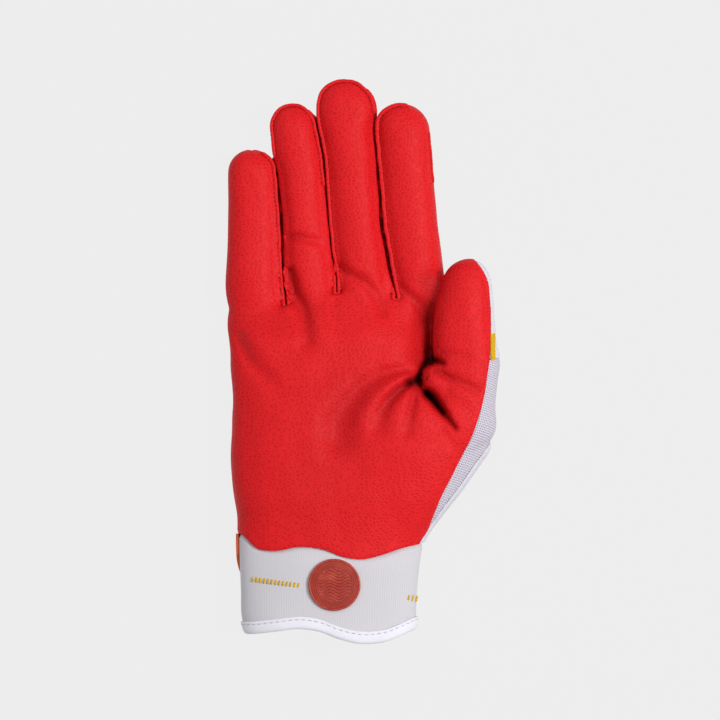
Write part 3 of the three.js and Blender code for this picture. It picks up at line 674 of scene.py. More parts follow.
@dataclass(frozen=True)
class WovenTape:
    """Woven binding tape or webbing: a fine plain weave that reads as a slight tooth."""

    name: str
    colour: str
    shade: str
    pitch: float = 0.7

    def material(self) -> bpy.types.Material:
        """Builds the material."""
        material, shader = new_material(self.name, Roughness=0.75, Sheen_Weight=0.15)
        tree = material.node_tree
        place = node(tree, "ShaderNodeTexCoord", {}).outputs["Object"]
        weave = node(tree, "ShaderNodeTexVoronoi", {"Vector": place, "Scale": 1 / (self.pitch * MM), "Randomness": 0.35})
        cloud = node(tree, "ShaderNodeTexNoise", {"Vector": place, "Scale": 90.0, "Detail": 2.0})
        tone = node(tree, "ShaderNodeMath", {0: weave.outputs["Distance"], 1: 0.5, 2: cloud.outputs["Fac"]}, operation="MULTIPLY_ADD")
        tree.links.new(ramp(tree, tone.outputs[0], [(0.25, self.shade), (0.85, self.colour)]), shader.inputs["Base Color"])
        bump = node(tree, "ShaderNodeBump", {"Height": weave.outputs["Distance"], "Distance": 0.08 * MM, "Strength": 0.5})
        tree.links.new(bump.outputs[0], shader.inputs["Normal"])
        return material


@dataclass(frozen=True)
class Moulded:
    """Moulded soft rubber: satin, slightly mottled, and paler where its ridges are rubbed."""

    name: str
    colour: str
    rubbed: str
    roughness: float = 0.42

    def material(self) -> bpy.types.Material:
        """Builds the material."""
        material, shader = new_material(self.name, Roughness=self.roughness, IOR=1.5)
        tree = material.node_tree
        place = node(tree, "ShaderNodeTexCoord", {}).outputs["Object"]
        cloud = node(tree, "ShaderNodeTexNoise", {"Vector": place, "Scale": 240.0, "Detail": 4.0})
        edge = node(tree, "ShaderNodeNewGeometry", {})
        tone = node(tree, "ShaderNodeMath", {0: cloud.outputs["Fac"], 1: 0.35, 2: edge.outputs["Pointiness"]}, operation="MULTIPLY_ADD")
        tree.links.new(ramp(tree, tone.outputs[0], [(0.66, self.colour), (0.78, self.rubbed)]), shader.inputs["Base Color"])
        bump = node(tree, "ShaderNodeBump", {"Height": cloud.outputs["Fac"], "Distance": 0.05 * MM, "Strength": 0.3})
        tree.links.new(bump.outputs[0], shader.inputs["Normal"])
        return material


@dataclass(frozen=True)
class Thread:
    """Twisted polyester thread: a soft sheen broken by the twist."""

    name: str
    colour: str
    shade: str

    def material(self) -> bpy.types.Material:
        """Builds the material."""
        material, shader = new_material(self.name, Roughness=0.6)
        shader.inputs["Specular IOR Level"].default_value = 0.15
        tree = material.node_tree
        place = node(tree, "ShaderNodeTexCoord", {}).outputs["Object"]
        twist = node(tree, "ShaderNodeTexNoise", {"Vector": place, "Scale": 2600.0, "Detail": 1.0})
        tree.links.new(ramp(tree, twist.outputs["Fac"], [(0.35, self.shade), (0.65, self.colour)]), shader.inputs["Base Color"])
        bump = node(tree, "ShaderNodeBump", {"Height": twist.outputs["Fac"], "Distance": 0.05 * MM, "Strength": 0.5})
        tree.links.new(bump.outputs[0], shader.inputs["Normal"])
        return material


# The third colour of each leather is painted shade, mixed in where the fold attribute is; only the palm leather carries
# that attribute.
RED_LEATHER = PebbledLeather("pebbled_sheepskin_red", "#C8161B", "#D81E23", "#1C0203", 1.75, depth=0.1)
WHITE_LEATHER = PebbledLeather("synthetic_leather_white", "#CBC8D2", "#D8D5DE", "#8F8B99", 1.1, depth=0.06, roughness=0.55)
CUFF_KNIT = RibbedKnit("rib_knit_grey", "#C9C6CB", "#C2C0C6", depth=0.05)
BINDING = WovenTape("binding_tape_white", "#E4E2EA", "#D8D6E0")
STRAP_WEB = WovenTape("strap_webbing_orange", "#E0622E", "#C24A1E", 0.9)
BADGE_RUBBER = Moulded("moulded_rubber_brick", "#962212", "#B6412A")
RED_THREAD = Thread("thread_dark_red", "#960D13", "#74080C")
# The pale thread's colour is partly a painted highlight on the rounded ends of the slits.
PALE_THREAD_AND_HIGHLIGHT = Thread("thread_pale_painted_highlight", "#C9606C", "#A83E4A")
WHITE_THREAD = Thread("thread_white", "#C9C6D3", "#A19EAE")
YELLOW_THREAD = Thread("thread_yellow", "#E8BE1C", "#B98F10")


@dataclass
class Wardrobe:
    """Materials made once each, and how a piece is dressed and tied to the frame."""

    made: dict[str, bpy.types.Material] = field(default_factory=dict)

    def dress(self, piece: bpy.types.Object, finish: object, slot: str, *nodes: str) -> None:
        """Gives a piece its finish and its place in the frame.

        Args:
            piece: the piece.
            finish: one of the finishes above.
            slot: the record's material slot; not used.
            nodes: CAD nodes that the piece stands for.
        """
        if finish.name not in self.made:
            self.made[finish.name] = finish.material()
        piece.data.materials.clear()
        piece.data.materials.append(self.made[finish.name])
        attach(piece, BODY)
        if nodes:
            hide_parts(*nodes)
        piece.data.calc_loop_triangles()
        log.info("%s: %d triangles", piece.name, len(piece.data.loop_triangles))


# ---------------------------------------------------------------- forms


def hand_rings(columns: int, rows: np.ndarray, grow: float = 0.0) -> np.ndarray:
    """Rings of the wrist and palm at given heights along y.

    Args:
        columns: points in a ring.
        rows: y of each ring.
        grow: how far the form is moved outwards.

    Returns:
        Points, (rows, columns, 3), the palm's end bent to the crotches.
    """
    got = through(HAND[:, 0], HAND[:, 1:], rows)
    left, right, bottom, top, rest, widest = got.T
    middle, half = (left + right) / 2, (right - left) / 2
    height = top - bottom
    shapes = np.stack(
        [rows, middle, bottom + height * widest, half, half, height * (1 - widest), height * widest, rest],
        axis=1,
    )
    rings = rings_of(shapes, columns, grow)
    bent = smoothstep(124.0, HAND_END_Y - 1, rows)[:, None]
    rings[:, :, 1] += bent * (through(HAND_END[:, 0], HAND_END[:, 1], rings[:, :, 0]) - HAND_END_Y)
    return rings


@dataclass(frozen=True)
class Finger:
    """One finger: its centre line, its widths at the crotch and tip, and the slits on its sides."""

    name: str
    base_y: float
    length: float
    base_x: float
    tip_x: float
    base_width: float
    tip_width: float
    depth: float
    left_slit: int | None
    right_slit: int | None

    def centre(self, y: np.ndarray) -> np.ndarray:
        """x of the centre line at heights along y."""
        share = np.clip((y - self.base_y) / self.length, 0.0, 1.0)
        return self.base_x + (self.tip_x - self.base_x) * share

    def side(self, slit: int | None, sign: int, y: np.ndarray, x: np.ndarray, own: np.ndarray, keep: float | None) -> np.ndarray:
        """Half width on one side, held back from the slit there.

        Args:
            slit: number of the slit, or None on a free side.
            sign: -1 on the left side, 1 on the right.
            y: heights along y.
            x: centre line there.
            own: half width of the free outline.
            keep: distance kept from the slit's line; None keeps half of its open width.

        Returns:
            Half widths.
        """
        if slit is None:
            return own
        line = SLITS[slit]
        at, wide = through(line[:, 0], line[:, 1:], y).T
        away = keep if keep is not None else wide / 2
        held = (at - x) * sign - away
        share = 1 - smoothstep(line[-1, 0] - 3.0, line[-1, 0] + 5.0, y)
        return own * (1 - share) + held * share

    def shapes(self, keep: float | None, extra: float = 0.0) -> np.ndarray:
        """Rows of the form, the tip rounded off.

        Args:
            keep: distance kept from the slits; None keeps half of their open width.
            extra: added all round, for a lip.

        Returns:
            y, x, z, left, right, up, down and rest of each ring.
        """
        rounding = self.tip_width * 0.52
        straight = self.length - rounding
        share = np.concatenate([[-0.2, -0.12, -0.04], np.linspace(0.02, 1.0, 34)])
        y = self.base_y + share * straight
        line = np.clip(share * straight / self.length, 0, 1)
        knots = np.array([-0.2, -0.04, 0.5, 1.0])
        swell = through(knots, np.array([0.8, 1.0, 1.0, 1.0]), share)
        thick = through(knots, np.array([0.7, 0.98, 1.0, 0.94]), share)
        width = swell * (self.base_width + (self.tip_width - self.base_width) * line) / 2
        x = self.base_x + (self.tip_x - self.base_x) * line
        z = self.depth * 0.45 + 4.0 * line**2
        flat = thick * self.depth / 2
        left = self.side(self.left_slit, -1, y, x, width, keep)
        right = self.side(self.right_slit, 1, y, x, width, keep)
        rows = np.stack([y, x, z, left, right, flat, flat, np.full_like(x, 0.3)], axis=1)
        drift = (self.tip_x - self.base_x) * rounding / self.length
        turn = np.sin(np.linspace(0, 0.5 * math.pi, 12)[1:] * 0.985)
        shrink = (1 - turn**2.1) ** (1 / 2.1)
        tips = np.repeat(rows[-1][None], len(turn), axis=0)
        tips[:, 0] += turn * (rounding + extra)
        tips[:, 1] += turn * drift
        tips[:, 3:7] *= shrink[:, None]
        fade = np.concatenate([np.ones(len(rows)), shrink])
        rows = np.concatenate([rows, tips])
        rows[:, 3] += extra * fade
        rows[:, 4] += extra * fade
        return rows

    def outline(self, extra: float = 0.0) -> np.ndarray:
        """Outline seen from above, up the left side, round the tip and down the right side.

        Args:
            extra: how far outside the glove's outline it runs.

        Returns:
            Points, (n, 2), evenly spaced.
        """
        rows = self.shapes(None, extra)
        rows = rows[rows[:, 0] > self.base_y - 1.0]
        left = np.stack([rows[:, 1] - rows[:, 3], rows[:, 0]], axis=1)
        right = np.stack([rows[:, 1] + rows[:, 4], rows[:, 0]], axis=1)
        return evenly(np.concatenate([left, right[::-1]]), 0.4)


FINGERS = (
    Finger("little", 143.0, 62.0, -33.1, -34.3, 22.5, 19.1, 18.0, None, 0),
    Finger("ring", 143.0, 80.9, -10.3, -16.7, 20.8, 21.4, 19.4, 0, 1),
    Finger("middle", 143.0, 91.0, 11.9, 4.1, 22.2, 24.3, 20.0, 1, 2),
    Finger("index", 143.0, 81.0, 34.5, 27.8, 22.4, 22.2, 20.0, 2, None),
)
SLIT_KEEP = 0.88  # distance that the remesh needs on each side of a slit


def evenly(line: np.ndarray, step: float) -> np.ndarray:
    """A line's points moved to even steps along it."""
    lengths = np.linalg.norm(np.diff(line, axis=0), axis=1)
    place = np.concatenate([[0.0], np.cumsum(lengths)])
    wanted = np.linspace(0, place[-1], max(3, int(round(place[-1] / step))))
    return np.stack([np.interp(wanted, place, line[:, i]) for i in range(line.shape[1])], axis=1)


def thumb_shapes() -> np.ndarray:
    """Rows of the thumb's form, its tip rounded off."""
    y = np.linspace(THUMB[0, 0], THUMB[-1, 0], 36)
    x, width, depth, z = through(THUMB[:, 0], THUMB[:, 1:], y).T
    rows = np.stack([y, x, z, width, width, depth, depth, np.zeros_like(y)], axis=1)
    turn = np.sin(np.linspace(0, 0.5 * math.pi, 12)[1:] * 0.985)
    shrink = (1 - turn**1.9) ** (1 / 1.9)
    tips = np.repeat(rows[-1][None], len(turn), axis=0)
    tips[:, 0] += turn * (THUMB_TIP_Y - THUMB[-1, 0])
    tips[:, 1] += turn * 0.6
    tips[:, 3:7] *= shrink[:, None]
    return np.concatenate([rows, tips])


def roll_rings(roll: np.ndarray) -> np.ndarray:
    """Rings of a rounded roll of leather, a form of its own."""
    turn = np.linspace(0, 2 * math.pi, 28, endpoint=False)
    run = np.gradient(roll[:, :2], axis=0)
    run /= np.linalg.norm(run, axis=1, keepdims=True)
    rings = []
    for (x, y, z, radius), (across, along) in zip(roll, run):
        out = np.cos(turn) * radius
        rings.append(np.stack([x + along * out, y - across * out, z + np.sin(turn) * radius], axis=1))
    return np.array(rings)[:, ::-1]


def beside_rolls(points: np.ndarray) -> np.ndarray:
    """Distance of points from the nearest roll of leather.

    Args:
        points: points, (n, 3).

    Returns:
        One distance in millimetres per point, and a large one beyond the rolls' ends.
    """
    best = np.full(len(points), 9.0)
    bend = 1.2
    for roll in ROLLS:
        for number, (a, b) in enumerate(zip(roll, roll[1:])):
            run = b[:2] - a[:2]
            length = np.linalg.norm(run)
            along = (points[:, :2] - a[:2]) @ run / length
            share = np.clip(along / length, 0.0, 1.0)
            off = points - a[:3] - share[:, None] * (b[:3] - a[:3])
            radius = a[3] + (b[3] - a[3]) * share
            away = np.linalg.norm(off, axis=1) - radius
            within = (along > (-bend if number else 0.0)) & (along < length + bend)
            best = np.where(within, np.minimum(best, away), best)
    return best


def clear_of_thumb(points: np.ndarray, gap: tuple[float, float]) -> np.ndarray:
    """Share of a fold that points take: none on the thumb and the rolls, which stand clear of it.

    Args:
        points: points, (n, 3).
        gap: distance from the nearest roll where the share starts and where it is full.

    Returns:
        One share per point.
    """
    x, y, z = points.T
    thumb_left = np.interp(y, THUMB[:, 0], THUMB[:, 1] - THUMB[:, 2])
    thumb = smoothstep(-0.5, 0.4, x - thumb_left) * smoothstep(112.0, 119.0, y) * smoothstep(14.0, 16.0, z)
    return smoothstep(*gap, beside_rolls(points)) * (1 - thumb)


# ---------------------------------------------------------------- the skin


class Panel(Enum):
    """Panels that the skin is cut into."""

    LEATHER = 0
    LITTLE_RING = 1
    RING_MIDDLE = 2
    MIDDLE_INDEX = 3
    BACK = 4
    THUMB_BACK = 5
    GUSSET = 6
    NONE = 7


@dataclass
class Skin:
    """The glove's outer skin as points, faces and the panel of each face, in millimetres."""

    points: np.ndarray
    faces: list[Face]
    panel: np.ndarray

    def in_panel(self, panel: Panel) -> np.ndarray:
        """Which faces belong to a panel."""
        return self.panel == panel.value

    def cut(self, values: np.ndarray, among: np.ndarray, inside: Panel) -> None:
        """Cuts faces along a field's zero line and gives the side above zero to a panel.

        Points close to the line are moved onto it, so that no slivers are left.

        Args:
            values: the field at each point.
            among: which faces are cut.
            inside: panel of the faces where the field is above zero.
        """
        values = values.copy()
        chosen = np.flatnonzero(among)
        crossing = set()
        for index in chosen:
            face = self.faces[index]
            for a, b in zip(face, face[1:] + face[:1]):
                if values[a] * values[b] < 0:
                    crossing.add((a, b) if a < b else (b, a))
        nearest: dict[int, tuple[float, np.ndarray]] = {}
        for a, b in crossing:
            share = values[a] / (values[a] - values[b])
            spot = self.points[a] + (self.points[b] - self.points[a]) * share
            end, away = (a, share) if share < 0.5 else (b, 1 - share)
            if away < 0.32 and (end not in nearest or away < nearest[end][0]):
                nearest[end] = (away, spot)
        for end, (_, spot) in nearest.items():
            self.points[end] = spot
            values[end] = 0.0
        middles: dict[tuple[int, int], int] = {}
        added = []
        for a, b in crossing:
            if values[a] * values[b] < 0:
                share = values[a] / (values[a] - values[b])
                middles[(a, b)] = len(self.points) + len(added)
                added.append(self.points[a] + (self.points[b] - self.points[a]) * share)
        if added:
            self.points = np.concatenate([self.points, np.array(added)])
        labels = list(self.panel)
        for index in chosen:
            face = self.faces[index]
            signs = values[list(face)]
            if signs.max() <= 0:
                continue
            if signs.min() >= 0:
                labels[index] = inside.value
                continue
            above, below = [], []
            for a, b in zip(face, face[1:] + face[:1]):
                if values[a] >= 0:
                    above.append(a)
                if values[a] <= 0:
                    below.append(a)
                if values[a] * values[b] < 0:
                    middle = middles[(a, b) if a < b else (b, a)]
                    above.append(middle)
                    below.append(middle)
            self.faces[index] = tuple(below)
            self.faces.append(tuple(above))
            labels.append(inside.value)
        self.panel = np.array(labels)

    def piece(self, panel: Panel, sink: float) -> tuple[np.ndarray, list[Face]]:
        """A panel's own points and faces, its edge rolled in a little.

        Args:
            panel: the panel.
            sink: how far it lies below the skin.

        Returns:
            Points and faces.
        """
        faces = [self.faces[i] for i in np.flatnonzero(self.in_panel(panel)) if len(self.faces[i]) > 2]
        used = sorted({i for face in faces for i in face})
        renumber = {old: new for new, old in enumerate(used)}
        own = [tuple(renumber[i] for i in face) for face in faces]
        points = self.points[used]
        normals = vertex_normals(self.points, self.faces)[used]
        counts: dict[tuple[int, int], int] = {}
        for face in own:
            for a, b in zip(face, face[1:] + face[:1]):
                key = (a, b) if a < b else (b, a)
                counts[key] = counts.get(key, 0) + 1
        edge = np.zeros(len(points))
        for (a, b), count in counts.items():
            if count == 1:
                edge[a] = edge[b] = 1.0
        second = edge.copy()
        for a, b in counts:
            if edge[a] or edge[b]:
                second[a] = max(second[a], 0.35)
                second[b] = max(second[b], 0.35)
        return points - normals * (sink + 0.38 * second)[:, None], own


@dataclass
class GloveSkin:
    """Builds the skin: lofted forms joined by a fine remesh, folded, then cut into panels."""

    bench: Bench
    voxel: float = 0.84
    rounds: int = 2

    def joined(self) -> tuple[np.ndarray, list[Face]]:
        """The forms joined into one closed skin."""
        hand_rows = np.concatenate([np.linspace(12.0, 138.0, 90), np.linspace(138.6, HAND_END_Y, 12)])
        forms = [hand_rings(96, hand_rows)]
        forms += [rings_of(finger.shapes(SLIT_KEEP), 56) for finger in FINGERS]
        forms.append(rings_of(thumb_shapes(), 64))
        forms += [roll_rings(roll) for roll in ROLLS]
        points, faces = [], []
        for rings in forms:
            start = sum(len(p) for p in points)
            some, more = closed_form(rings, start)
            points.append(some)
            faces += more
        shell = self.bench.object("skin_form", np.concatenate(points), faces)
        apply_modifier(shell, "REMESH", mode="VOXEL", voxel_size=self.voxel * MM)
        got = self.bench.read(shell)
        bpy.data.objects.remove(shell)
        return got

    def relaxed(self, points: np.ndarray, faces: list[Face], share: np.ndarray, rounds: int) -> np.ndarray:
        """The points smoothed by the mean of their neighbours.

        Args:
            points: points of the skin.
            faces: its quads.
            share: how far each point moves to the mean in a round, (n,).
            rounds: number of rounds.

        Returns:
            The new points.
        """
        index = np.array(faces)
        a, b = index.ravel(), np.roll(index, -1, axis=1).ravel()
        start, end = np.concatenate([a, b]), np.concatenate([b, a])
        count = np.bincount(start, minlength=len(points))
        for _ in range(rounds):
            mean = np.stack([np.bincount(start, points[end, i], len(points)) / count for i in range(3)], axis=1)
            points = points + (mean - points) * share[:, None]
        return points

    def knuckles(self, points: np.ndarray, faces: list[Face]) -> np.ndarray:
        """The points with the step from the palm to the fingers smoothed away."""
        x, y, _ = points.T
        share = 0.6 * smoothstep(126.0, 134.0, y) * (1 - smoothstep(146.0, 156.0, y))
        share *= smoothstep(0.2, 0.6, vertex_normals(points, faces)[:, 2])
        for slit, crotch in zip(SLITS, CROTCH_Y):
            at = through(slit[:, 0], slit[:, 1], y)
            away = np.hypot(x - at, np.minimum(y - crotch, 0.0))
            share *= smoothstep(1.4, 3.6, away)
        return self.relaxed(points, faces, share, 70)

    def pressed(self, points: np.ndarray, faces: list[Face]) -> np.ndarray:
        """The points with the side walls of neighbouring fingers moved together until they nearly touch."""
        points = points.copy()
        sideways = vertex_normals(points, faces)[:, 0]
        for slit, crotch in zip(SLITS, CROTCH_Y):
            x, y, z = points.T
            middle, wide = through(slit[:, 0], slit[:, 1:], y).T
            upper = smoothstep(7.0, 9.5, z)
            # The lower walls meet a little to the right, so the floor does not show through the slit.
            middle = middle + 1.1 * (1 - upper)
            half = 0.06 + upper * wide / 2
            share = smoothstep(crotch + 0.3, crotch + 4.0, y) * (1 - smoothstep(slit[-1, 0] - 3, slit[-1, 0] + 4, y))
            share *= smoothstep(0.8, 3.0, z) * (1 - smoothstep(14.0, 17.0, z))
            for sign in (-1, 1):
                near = (np.abs(x - middle) < 3.6) & ((x - middle) * sign > -0.6)
                pull = share * smoothstep(0.1, 0.6, -sideways * sign) * near
                x = x + pull * (middle + sign * half - x)
            points[:, 0] = x
        return points

    def folded(self, points: np.ndarray, faces: list[Face]) -> np.ndarray:
        """The points with pads, folds and the leather's unevenness."""
        normals = vertex_normals(points, faces)
        facing = smoothstep(0.05, 0.55, normals[:, 2]) * smoothstep(9.0, 13.0, points[:, 2])
        lift = np.zeros(len(points))
        for x, y, across, along, height in PADS:
            away = ((points[:, 0] - x) / across) ** 2 + ((points[:, 1] - y) / along) ** 2
            lift += height * np.exp(-away)
        clear = clear_of_thumb(points, (0.1, 0.9))
        for fold in FOLDS:
            lift += fold.height(points[:, :2]) * (1.0 if fold.everywhere else clear)
        points = points.copy()
        points[:, 2] = np.maximum(points[:, 2] + lift * facing, np.minimum(points[:, 2], DEEPEST))
        # Slow waves keep the leather from lying dead smooth.
        chance = np.random.default_rng(7)
        uneven = np.zeros(len(points))
        for _ in range(14):
            way = chance.normal(size=3)
            way *= 2 * math.pi / (chance.uniform(9.0, 26.0) * np.linalg.norm(way))
            uneven += np.sin(points @ way + chance.uniform(0, 6.28))
        rested = smoothstep(0.6, 3.0, points[:, 2])
        return points + normals * (uneven * 0.045 * rested)[:, None]

    def build(self) -> Skin:
        """The skin cut into its panels."""
        points, faces = self.joined()
        faces = [f for f in faces if len(f) == 4]
        points = self.relaxed(points, faces, np.full(len(points), 0.55), self.rounds)
        points = self.knuckles(points, faces)
        points = self.pressed(points, faces)
        points = self.folded(points, faces)
        away = np.hypot(points[:, 0] - 40.0, points[:, 1] - 107.0)
        points = self.relaxed(points, faces, 0.4 * (1 - smoothstep(12.0, 20.0, away)), 3)
        skin = Skin(points, faces, np.full(len(faces), Panel.NONE.value))
        log.info("skin: %d points", len(points))

        def fields() -> tuple[np.ndarray, np.ndarray, np.ndarray]:
            """x, y and z of the points as they now are."""
            return skin.points[:, 0], skin.points[:, 1], skin.points[:, 2]

        x, y, z = fields()
        skin.cut(y - through(LEATHER_EDGE[:, 0], LEATHER_EDGE[:, 1], x), skin.in_panel(Panel.NONE), Panel.LEATHER)
        x, y, z = fields()
        skin.cut(x - through(THUMB_EDGE[:, 0], THUMB_EDGE[:, 1], y), skin.in_panel(Panel.LEATHER), Panel.BACK)
        x, y, z = fields()
        skin.cut(y - GUSSET_TOP_Y, skin.in_panel(Panel.BACK), Panel.THUMB_BACK)
        x, y, z = fields()
        band = EDGE_BAND * (1 - smoothstep(74.0, 92.0, y)) - 3.0 * smoothstep(80.0, 92.0, y)
        beside = through(THUMB_OUTLINE[:, 0], THUMB_OUTLINE[:, 1], y) - band - x
        # Near the wrist the white strip turns right under the glove, and the mesh ends at it.
        low = 12.0 + (GUSSET_SEAM_Z - 12.0) * smoothstep(80.0, 92.0, y)
        skin.cut(np.minimum(z - low, beside), skin.in_panel(Panel.BACK), Panel.GUSSET)
        x, y, z = fields()
        under = np.minimum(np.minimum(x - THUMB_INSIDE_X, y - GUSSET_TOP_Y), THUMB_SEAM_Z - z)
        skin.cut(under, skin.in_panel(Panel.LEATHER), Panel.THUMB_BACK)
        x, y, z = fields()
        edge = through(THUMB_EDGE[:, 0], THUMB_EDGE[:, 1], y)
        turned_under = np.minimum(np.minimum(x - edge + 14.0, 11.0 - z), GUSSET_TOP_Y - y)
        skin.cut(np.maximum(BACK_SEAM_Z - z, turned_under), skin.in_panel(Panel.LEATHER), Panel.BACK)
        for one, other, panel in zip(FINGERS, FINGERS[1:], (Panel.LITTLE_RING, Panel.RING_MIDDLE, Panel.MIDDLE_INDEX)):
            x, y, z = fields()
            between = np.minimum(x - one.centre(y), other.centre(y) - x)
            between = np.minimum(between, np.minimum(FINGER_SEAM_Z - z, y - 134.0))
            skin.cut(between, skin.in_panel(Panel.LEATHER), panel)
        return skin


def surface_under(skin: Skin, panels: Sequence[Panel]) -> BVHTree:
    """A tree for finding the skin's surface, in the glove's millimetres."""
    wanted = {p.value for p in panels}
    faces = [face for face, label in zip(skin.faces, skin.panel) if label in wanted]
    return BVHTree.FromPolygons(skin.points.tolist(), faces)


def height_at(tree: BVHTree, x: float, y: float, otherwise: float) -> float:
    """Height of a surface seen from above at a point."""
    hit = tree.ray_cast(Vector((x, y, 100.0)), Vector((0, 0, -1)))
    return hit[0].z if hit[0] is not None else otherwise


# ---------------------------------------------------------------- sweeps and stitches


def sweep(path: np.ndarray, profile: np.ndarray, size: np.ndarray | None = None, start: int = 0) -> tuple[np.ndarray, list[Face]]:
    """A closed profile swept along a path.

    Args:
        path: points, (n, 3).
        profile: outline as outwards and up, (m, 2); outwards is to the left of the path.
        size: size of the profile at each point of the path.
        start: index of the first point.

    Returns:
        Points and faces, ends capped.
    """
    size = np.ones(len(path)) if size is None else size
    run = np.gradient(path, axis=0)
    side = np.stack([-run[:, 1], run[:, 0], np.zeros(len(run))], axis=1)
    side /= np.maximum(np.linalg.norm(side, axis=1, keepdims=True), 1e-9)
    up = np.array([0.0, 0.0, 1.0])
    spread = profile[None] * size[:, None, None]
    rings = path[:, None] + side[:, None] * spread[:, :, :1] + up * spread[:, :, 1:]
    return closed_form(rings, start)


def tapered(count: int, step: float, length: float) -> np.ndarray:
    """Sizes along a sweep that grow from its start and shrink to its end over a length."""
    place = np.arange(count) * step
    ends = np.minimum(place, place[::-1])
    return 0.15 + 0.85 * smoothstep(0.0, length, ends)


@dataclass
class Stitches:
    """Thread laid as short stitches that dive into the cloth at both ends."""

    radius: float = 0.24
    length: float = 1.7
    gap: float = 0.9
    points: list[np.ndarray] = field(default_factory=list)
    faces: list[Face] = field(default_factory=list)
    count: int = 0

    def lay(self, start: np.ndarray, end: np.ndarray, up: np.ndarray) -> None:
        """Lays one stitch between two points."""
        run = end - start
        side = np.cross(up, run)
        side /= max(np.linalg.norm(side), 1e-9)
        turn = np.linspace(0, 2 * math.pi, 6, endpoint=False)
        rings = []
        for share, thick, sink in ((0.0, 0.45, 0.9), (0.14, 0.9, 0.2), (0.5, 1.0, 0.0), (0.86, 0.9, 0.2), (1.0, 0.45, 0.9)):
            middle = start + run * share - up * (self.radius * sink)
            rings.append(
                middle
                + side * (np.cos(turn) * self.radius * thick)[:, None]
                + up * (np.sin(turn) * self.radius * thick)[:, None]
            )
        some, more = closed_form(np.array(rings), self.count)
        self.points.append(some)
        self.faces += more
        self.count += len(some)

    def run(self, path: np.ndarray, ups: np.ndarray) -> None:
        """Lays stitches along a line, one after another."""
        steps = np.linalg.norm(np.diff(path, axis=0), axis=1)
        place = np.concatenate([[0.0], np.cumsum(steps)])
        at = 0.3
        while at + self.length < place[-1]:
            ends = [
                np.array([np.interp(s, place, path[:, i]) for i in range(3)]) for s in (at, at + self.length)
            ]
            up = np.array([np.interp(at + self.length / 2, place, ups[:, i]) for i in range(3)])
            self.lay(ends[0], ends[1], up / max(np.linalg.norm(up), 1e-9))
            at += self.length + self.gap

    def object(self, bench: Bench, name: str) -> bpy.types.Object:
        """All the stitches as one object."""
        made = bench.object(name, np.concatenate(self.points), self.faces)
        outward_normals(made)
        shade(made, 60)
        return made


# ---------------------------------------------------------------- sub-assemblies


@dataclass(frozen=True)
class LipPlan:
    """Where a lip runs: down the first finger's outline, round a slit's end, up the next finger's."""

    first: int | None
    start: float
    slit: int | None
    stop: float
    width: float = 1.15
    drop: float = 0.0
    extra: float = 0.0
    taper: float = 2.5
    stitched: bool = True


LIPS = (
    LipPlan(0, 0.52, 0, 0.035, 1.4),
    LipPlan(1, 0.33, None, 0.62, 1.3),
    LipPlan(1, 0.94, 1, 0.62, 1.35),
    LipPlan(2, 0.975, 2, 0.53, 1.6),
    LipPlan(2, 0.54, None, 0.26, 1.6, drop=2.6, extra=0.7, taper=5.0, stitched=False),
    LipPlan(3, 0.60, None, 0.35, 0.8, drop=0.8, stitched=False),
)


